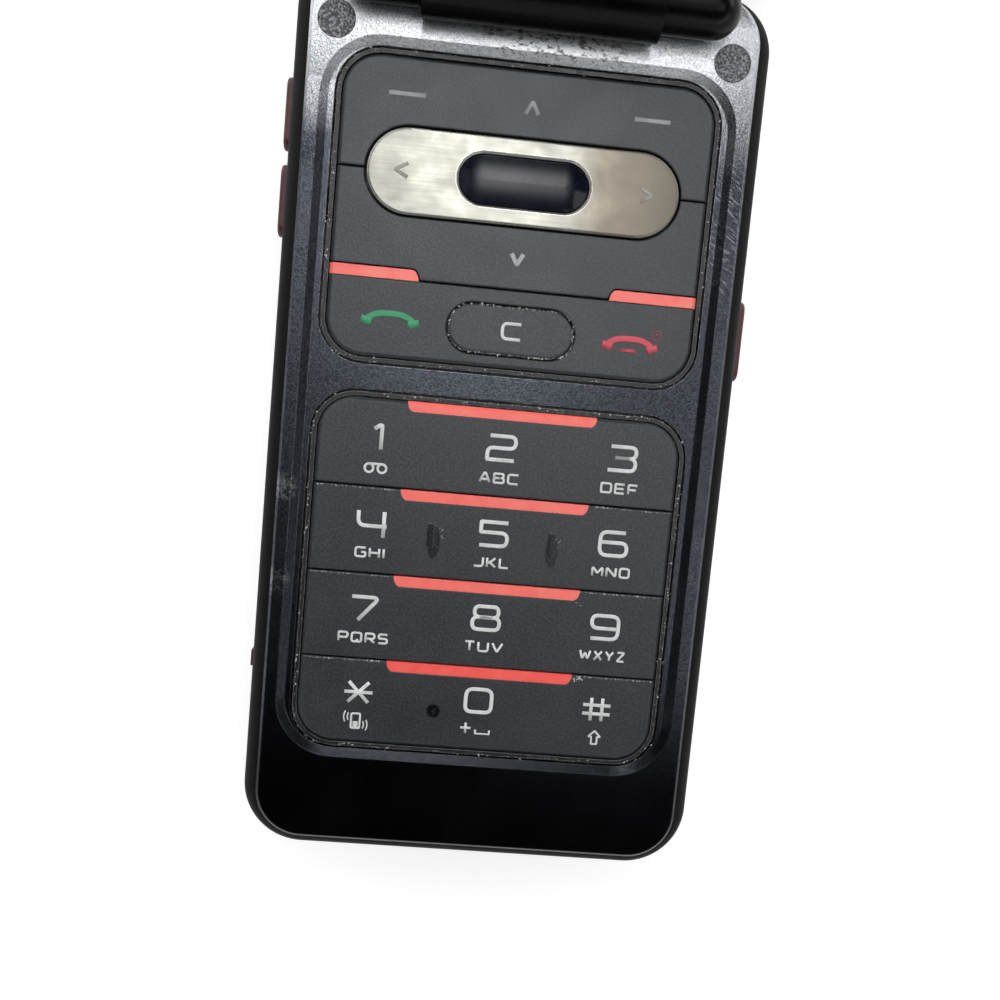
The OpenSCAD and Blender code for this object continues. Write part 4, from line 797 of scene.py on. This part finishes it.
def ring(centre, radius, start=0.0, sweep=360.0, steps=24):
    """Points on a circle or an arc, angles in degrees."""
    return [(centre[0] + radius * math.cos(math.radians(start + sweep * k / steps)),
             centre[1] + radius * math.sin(math.radians(start + sweep * k / steps)))
            for k in range(steps + 1)]


def tape_sign(x, y):
    return [([ring((x - 0.72, y - 0.12), 0.48), ring((x + 0.72, y - 0.12), 0.48),
              [(x - 0.72, y + 0.36), (x + 0.72, y + 0.36)]], 0.27)]


def ringing_phone(x, y):
    case = [(0, -.85), (.5, -.85), (.5, .85), (-.5, .85), (-.5, -.85), (0, -.85)]
    lines = [[(x - .3, y - down), (x + .3, y - down)] for down in (.62, .4, .18)]
    waves = [ring((x, y + (0.45 * s - 0.22) * 2), r, 180 * s - 28, 56, 8)
             for r in (0.95, 1.35) for s in (0, 1)]
    return [([rounded([(x + a, y + b) for a, b in case], 0.2)] + lines, 0.24), (waves, 0.16)]


def plus_and_space(x, y):
    return [([[(x - 1.85, y + .15), (x - .65, y + .15)],
              [(x - 1.25, y - .45), (x - 1.25, y + .75)],
              [(x - .1, y), (x - .1, y - .45), (x + 1.5, y - .45), (x + 1.5, y)]], 0.27)]


def up_arrow(x, y):
    outline = [(0, -.75), (.33, -.75), (.33, .1), (.72, .1), (0, .8), (-.72, .1),
               (-.33, .1), (-.33, -.75), (0, -.75)]
    return [([rounded([(x + a, y + b) for a, b in outline], 0.06)], 0.22)]


print("signs ready")

# %% [markdown]
# One table holds where each row's numbers stand, the numbers, where its letters
# stand, the letters, and its drawn signs.

# %% Print the rows
ROWS = {
    "row_1": (47.9, "123", 44.5, ("", "ABC", "DEF"),
              tape_sign(*at(COLUMNS[0] - 0.1, 44.55))),
    "row_2": (38.15, "456", 34.9, ("GHI", "JKL", "MNO"), []),
    "row_3": (28.45, "789", 25.12, ("PQRS", "TUV", "WXYZ"), []),
    "row_4": (18.77, "*0#", 15.4, ("", "", ""),
              ringing_phone(*at(COLUMNS[0] - 0.1, 15.4))
              + plus_and_space(*at(COLUMNS[1] + 0.02, 15.35))
              + up_arrow(*at(COLUMNS[2] + 0.06, 15.4))),
}
for body, (digit_y, digits, word_y, words, drawn) in ROWS.items():
    jobs = []
    for column, digit, word in zip(COLUMNS, digits, words):
        width, height, stroke = OTHER_DIGITS.get(digit, DIGIT)
        jobs += [(sign_paths(digit, at(column, digit_y), width, height, 0.85), stroke),
                 (word_paths(word, at(column, word_y)), LETTER_STROKE)]
    ink("print_" + body, jobs + drawn, KEY_TOP, white_ink, body)
print("number rows printed")

# %% [markdown]
# The keys round the steel plate carry dashes, angles and two handsets. The plate's
# own arrows lie on its face, 0.2 mm higher.

# %% Soft keys, arrows, and the call, clear and end keys
def chevron(*points):
    return rounded([at(x, y) for x, y in points], 0.1)


def handset(centre, half):
    """An arched grip with a block at each end."""
    x, y = centre
    grip = [(x + half * k / 10, y + 0.8 * (1 - abs(k / 10) ** 3)) for k in range(-10, 11)]
    ends = [[(x + s * (half - 0.12), y + 0.25), (x + s * (half + 0.12), y - 0.5)]
            for s in (-1, 1)]
    return [([grip], 0.72), (ends, 1.3)]


ink("print_soft_keys", [
    ([[at(x - 2.0, 85.0), at(x + 2.0, 85.0)] for x in (-13.4, 13.4)], 0.5),
    ([chevron((-.54, 84.3), (0.17, 85.6), (.88, 84.3))], 0.48),
], KEY_TOP, grey_ink, "soft_keys")
ink("print_down_key", [([chevron((-.66, 69.35), (0.0, 68.15), (.66, 69.35))], 0.5)],
    KEY_TOP, grey_ink, "down_keys")
ink("print_clear_key", [(sign_paths("C", at(0.1, 60.85), 2.05, 1.7, 0.62), 0.36)],
    KEY_TOP + 0.1, white_ink, "clear")
ink("print_call_key", handset(at(-13.35, 60.75), 2.6), KEY_TOP, green_ink, "call_row")
ink("print_end_key", handset(at(13.4, 60.5), 2.55) + [([[at(12.35, 60.0), at(14.2, 60.0)]], 0.38)],
    KEY_TOP, red_ink, "call_row")
ink("print_power_sign", [([ring(at(16.36, 61.93), 0.55)], 0.16),
                         ([[at(16.36, 62.2), at(16.36, 61.7)]], 0.26)],
    KEY_TOP, dim_red_ink, "call_row")
ink("etched_arrows", [([chevron((-12.7, 77.75), (-14.1, 77.0), (-12.7, 76.25)),
                        chevron((12.9, 77.7), (14.2, 77.0), (12.9, 76.25))], 0.4)],
    KEY_TOP + 0.2, etched, "steel_plate")
print("navigation keys printed")

# %% [markdown]
# ## Dust and glints in the grooves
# Lint and skin dust gather along the rubber lips and between the rows, and pale
# specks there tell a used phone from a new one. Along the lips, round the clear key
# and over the rows the same pale specks also stand for glints of light on those
# edges, so they are partly painted highlight. Each is a faceted ball, pressed flat,
# of only 20 faces, because there are hundreds. The draws are seeded, so the dust lies
# the same on every run.

# %% How specks are scattered
# Pale specks: dust, and painted glints along the edges.
dust_and_glint_finish = printing_ink("dust_and_glint_specks", "#c4c4bf", "#86867f")


def scatter_specks(name, body, paths, count, spread_mm, z, sizes_mm, seed):
    """So many specks along the paths, of sizes between the two given."""
    rng = random.Random(seed)
    legs = [(Vector(a), Vector(b)) for path in paths for a, b in zip(path, path[1:])]
    lengths = [(b - a).length for a, b in legs]
    made = bmesh.new()
    for leg in rng.choices(legs, weights=lengths, k=count):
        middle = leg[0].lerp(leg[1], rng.random())
        size = rng.uniform(*sizes_mm) * rng.choice((0.6, 0.8, 1.0, 1.6))
        ball = bmesh.ops.create_icosphere(made, subdivisions=1, radius=size)
        spin = Matrix.Rotation(rng.uniform(0, math.pi), 4, "Z")
        shape = Matrix.Diagonal((rng.uniform(0.7, 1.8), 0.8, 0.5, 1))
        shift = Matrix.Translation((middle.x + rng.gauss(0, spread_mm),
                                    middle.y + rng.gauss(0, spread_mm), z))
        bmesh.ops.transform(made, matrix=shift @ spin @ shape, verts=ball["verts"])
    bmesh.ops.scale(made, vec=(MM, MM, MM), verts=made.verts)
    piece = from_bmesh(name, made, dust_and_glint_finish, smooth=False)
    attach(piece, body)


def round_box(half_x, low_y, high_y, radius):
    return rounded([(0, low_y), (half_x, low_y), (half_x, high_y), (-half_x, high_y),
                    (-half_x, low_y), (0, low_y)], radius, steps=8)


def groove(low_y, high_y):
    return round_box(20.85, low_y + LOW_END, high_y + LOW_END, 4.7)


print("dust ready")

# %% [markdown]
# They lie in the grooves, round the clear key, over three rows, by the marks on the
# keys, and where the barrel nearly touches the frame. Those in the grooves, round the
# clear key and over the rows are partly painted glints. Those on a key ride on it.

# %% Scatter the specks
ON_KEYS = KEY_TOP + 0.01
round_clear = [p + Vector(at(0.1, 60.85)) for p in round_box(6.9, -2.62, 2.62, 2.6)]
by_ribs = [[(x - 0.5, -11.5), (x + 0.5, -11.3), (x + 0.85, -12.4)] for x in (-6.5, 6.9)]
SPECK_LINES = [
    # name, body, paths, count, spread, height, smallest and largest, seed
    ("dust_and_glints_in_grooves", "base", [groove(12.42, 52.68), groove(56.27, 89.42)],
     620, 0.13, 11.98, (0.03, 0.07), 7),
    ("grit_by_the_lowest_inlay", "row_4", [[at(10.9, 22.1), at(12.0, 22.1)]],
     26, 0.16, KEY_TOP + 0.02, (0.04, 0.09), 11),
    ("dust_and_glints_round_the_clear_key", "call_row", [round_clear],
     330, 0.06, KEY_TOP + 0.02, (0.03, 0.065), 9),
    *(("dust_over_row_%d_%s" % (number, side), "row_%d" % number,
       [[at(s * 20.0, top_edge), at(s * 11.2, top_edge)]],
       60, 0.03, ON_KEYS, (0.025, 0.055), 30 + number + s)
      for number, top_edge in ((2, 42.18), (3, 32.33), (4, 22.48))
      for side, s in (("left", -1), ("right", 1))),
    ("specks_by_the_ribs", "row_2", by_ribs, 34, 0.14, ON_KEYS, (0.025, 0.06), 21),
    ("specks_on_row_3", "row_3", [[at(10.3, 30.9), at(10.8, 30.8)]],
     9, 0.25, ON_KEYS, (0.03, 0.06), 12),
    ("lint_under_the_barrel", "lid", [[at(-4.0, 92.35), at(12.4, 92.35)]],
     70, 0.2, 14.0, (0.03, 0.07), 21),
    ("lint_under_the_right_knuckle", "base", [[at(13.2, 92.35), at(20.5, 92.35)]],
     80, 0.2, 12.4, (0.03, 0.07), 21),
]
for line in SPECK_LINES:
    scatter_specks(*line)
print("specks", sum(line[3] for line in SPECK_LINES))

# %% [markdown]
# ## Small pieces on the lid
# The lid is outside the photograph, but it is seen from every other side. Its small
# pieces are built with the lid shut, where sizes are easy to think about, and then
# turned open with the hinge's own matrix. Its camera's lens, of coated glass, sits
# at the bottom of a black stepped funnel, which keeps stray light out. Both are turned
# parts, so both are a spun profile.

# %% The camera's funnel and lens
def shut_box(name):
    """A lid node's lowest and highest corners with the lid shut, in millimetres."""
    points = [(shut_again @ v.co) / MM for v in frame["nodes"][name].data.vertices]
    return [Vector([pick(p[i] for p in points) for i in range(3)]) for pick in (min, max)]


def onto_lid(made):
    """Takes a bmesh from millimetres on the shut lid to its place on the open one."""
    bmesh.ops.scale(made, vec=(MM, MM, MM), verts=made.verts)
    bmesh.ops.transform(made, matrix=opened, verts=made.verts)


def spun(name, profile, centre, material):
    """A ring or a dome: a closed profile of radius and height, spun round Z."""
    made = bmesh.new()
    verts = [made.verts.new((r, 0, z)) for r, z in profile]
    edges = [made.edges.new(pair) for pair in zip(verts, verts[1:] + verts[:1])]
    bmesh.ops.spin(made, geom=verts + edges, cent=(0, 0, 0), axis=(0, 0, 1),
                   angle=2 * math.pi, steps=48, use_merge=True, use_duplicate=False)
    bmesh.ops.remove_doubles(made, verts=made.verts, dist=0.001)
    bmesh.ops.dissolve_degenerate(made, dist=0.0005, edges=made.edges)
    bmesh.ops.translate(made, vec=centre, verts=made.verts)
    onto_lid(made)
    bmesh.ops.recalc_face_normals(made, faces=made.faces)
    piece = from_bmesh(name, made, material)
    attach(piece, "lid")


coated_glass = moulded("optical_glass_coated", "#0a0614", "#140a24", 0.5, 0.0, (0.03, 0.05),
                       patch_mm=2.0, edge_mm=0.02, specular=0.9, speckled=0.0)
fill(coated_glass.node_tree.nodes["Principled BSDF"], {"Coat Weight": 1.0})
funnel_black = moulded("aluminium_funnel_blackened", "#050506", "#0b0b0c", 0.1, 0.002,
                       (0.3, 0.4), patch_mm=1.0, edge_mm=0.04, speckled=0.2)
low, high = shut_box("camera_glass")
lens_at = ((low.x + high.x) / 2, (low.y + high.y) / 2, low.z)
spun("camera_funnel", [(3.2, -0.03), (2.45, -0.06), (2.35, -0.18), (1.8, -0.2), (1.7, -0.32),
                       (1.35, -0.34), (1.35, -0.38), (3.2, -0.38)], lens_at, funnel_black)
spun("camera_lens", [(0, -0.16), (0.5, -0.18), (0.95, -0.235), (1.3, -0.33), (1.3, -0.38),
                     (0, -0.38)], lens_at, coated_glass)
print("camera at", [round(v, 1) for v in lens_at])

# %% [markdown]
# The earpiece's holes are too small to cut into the CAD sheet. Each is a black disc
# with eight sides that lies on it, in rows set half a step apart.

# %% The earpiece's holes
HOLE_R, HOLE_STEP, ROW_STEP, HOLE_SIDES = 0.16, 0.48, 0.42, 8
low, high = shut_box("earpiece_mesh")
made = bmesh.new()
for row, reach in ((-1, 3.6), (0, 3.85), (1, 3.6)):
    steps = int(2 * reach / HOLE_STEP)
    for k in range(steps + 1):
        middle = Matrix.Translation(((k - steps / 2) * HOLE_STEP,
                                     (low.y + high.y) / 2 + row * ROW_STEP, low.z - 0.01))
        bmesh.ops.create_cone(made, cap_ends=True, segments=HOLE_SIDES, radius1=HOLE_R,
                              radius2=HOLE_R, depth=0.02, matrix=middle)
onto_lid(made)
holes = from_bmesh("earpiece_holes", made, funnel_black, smooth=False)
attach(holes, "lid")
print("earpiece holes", len(holes.data.polygons) // (HOLE_SIDES + 2))

# %% [markdown]
# ## Floor and light
# The photograph has a white ground with hardly a shadow. The floor is a broad pale
# disc that curves up into a low wall, so that side views see the same ground.

# %% A pale floor with a curved wall
FLOOR_R, CURVE_R, WALL_H, CURVE_STEPS = 1.2, 0.4, 0.85, 12
disc = bmesh.new()
bmesh.ops.create_circle(disc, cap_ends=False, radius=FLOOR_R, segments=96)
bmesh.ops.contextual_create(disc, geom=disc.edges[:])
rim = [e for e in disc.edges if e.is_boundary]
for k in range(1, CURVE_STEPS + 2):
    grown = bmesh.ops.extrude_edge_only(disc, edges=rim)["geom"]
    rim = [e for e in grown if isinstance(e, bmesh.types.BMEdge)]
    a = math.radians(90 * k / CURVE_STEPS)
    for v in [g for g in grown if isinstance(g, bmesh.types.BMVert)]:
        if k > CURVE_STEPS:
            v.co.z += WALL_H
        else:
            flat = Vector((v.co.x, v.co.y, 0)).normalized() * (FLOOR_R + CURVE_R * math.sin(a))
            v.co = (flat.x, flat.y, CURVE_R * (1 - math.cos(a)))
bmesh.ops.recalc_face_normals(disc, faces=disc.faces)

floor_paint, tree, shader, place = start_material("matt_white_board")
# What a camera, a mirror or a window sees of the board is lifted towards white. The
# light that it sends back to the phone stays as it is.
seen = add(tree, "LightPath", out="Is Camera Ray")
for ray in ("Is Glossy Ray", "Is Transmission Ray"):
    seen = add(tree, "Math", (seen, add(tree, "LightPath", out=ray)), operation="MAXIMUM")
mottle = noise_mm(tree, place, 30.0, 3.0)
fill(shader, {"Base Color": layered(tree, "#cfcfcf", (mottle, "#d3d3d3")), "Roughness": 0.9,
              "Emission Color": "#ffffff", "Emission Strength": all_of(tree, seen, 0.6)})
floor = from_bmesh("floor", disc, floor_paint)
print("floor laid, faces", len(floor.data.polygons))

# %% [markdown]
# One soft panel hangs over the far end, brightest in its middle, and gives the long
# fade from grey to black that runs down the phone. Two weak panels fill its sides, a
# small one draws thin bright lines on the upper edges of the keys, and four wide low
# panels stand where the flat surfaces do not mirror them into the camera.

# %% Panels and the room
def panel(name, place, aim, width, height, level):
    """An area lamp of this size, which looks as bright as the level says."""
    data = bpy.data.lights.new(name, "AREA")
    data.shape = "RECTANGLE"
    data.size, data.size_y = width, height
    data.energy = level * math.pi * width * height
    lamp = shown(name, data)
    lamp.location = place
    lamp.rotation_euler = (Vector(aim) - Vector(place)).to_track_quat("-Z", "Y").to_euler()
    lamp.visible_camera = False
    return lamp


def above(name, x_from, x_to, y_from, y_to, level, distance=0.8):
    """A panel that a flat surface mirrors between these angles from straight up."""
    x, y = (x_from + x_to) / 2, (y_from + y_to) / 2
    place = Vector((math.tan(math.radians(x)), math.tan(math.radians(y)), 1)) * distance
    wide = distance * (math.tan(math.radians(x_to)) - math.tan(math.radians(x_from)))
    tall = distance * (math.tan(math.radians(y_to)) - math.tan(math.radians(y_from)))
    return panel(name, place, place - Vector((0, 0, 1)), wide, tall, level)


def fade_from_middle(lamp, sharpness):
    """Makes an area lamp bright in its middle and dark at its edges, as a bell curve."""
    lamp.data.use_nodes = True
    tree = lamp.data.node_tree
    across = add(tree, "NewGeometry", out="Parametric")
    away = add(tree, "VectorMath", (across, (0.5, 0.5, 0.0)), operation="DISTANCE")
    bell = add(tree, "Math", (all_of(tree, away, away, -sharpness),), operation="EXPONENT")
    fill(tree.nodes["Emission"], {"Strength": bell})


fade_from_middle(above("hot_panel", -15, 17, -5, 41, 9.1), 16)
above("window_light", -10, 2, 34, 50, 9)
above("right_panel", 10, 36, -15, 12, 1.9)
above("left_panel", -26, -8, -6, 24, 0.6)
LOW_R, LOW_Z, LOW_WIDE, LOW_TALL = 1.08, 0.5, 1.3, 0.28
for k, level in enumerate((4.0, 5.0, 1.2, 1.4)):
    a = math.radians(45 + 90 * k)
    panel("low_panel_%d" % k, (LOW_R * math.cos(a), LOW_R * math.sin(a), LOW_Z), (0, 0, 0),
          LOW_WIDE, LOW_TALL, level)
world = bpy.data.worlds.new("room")
world.use_nodes = True
fill(world.node_tree.nodes["Background"], {"Color": "#141517"})
bpy.context.scene.world = world
print("lights set", len(bpy.data.lights))
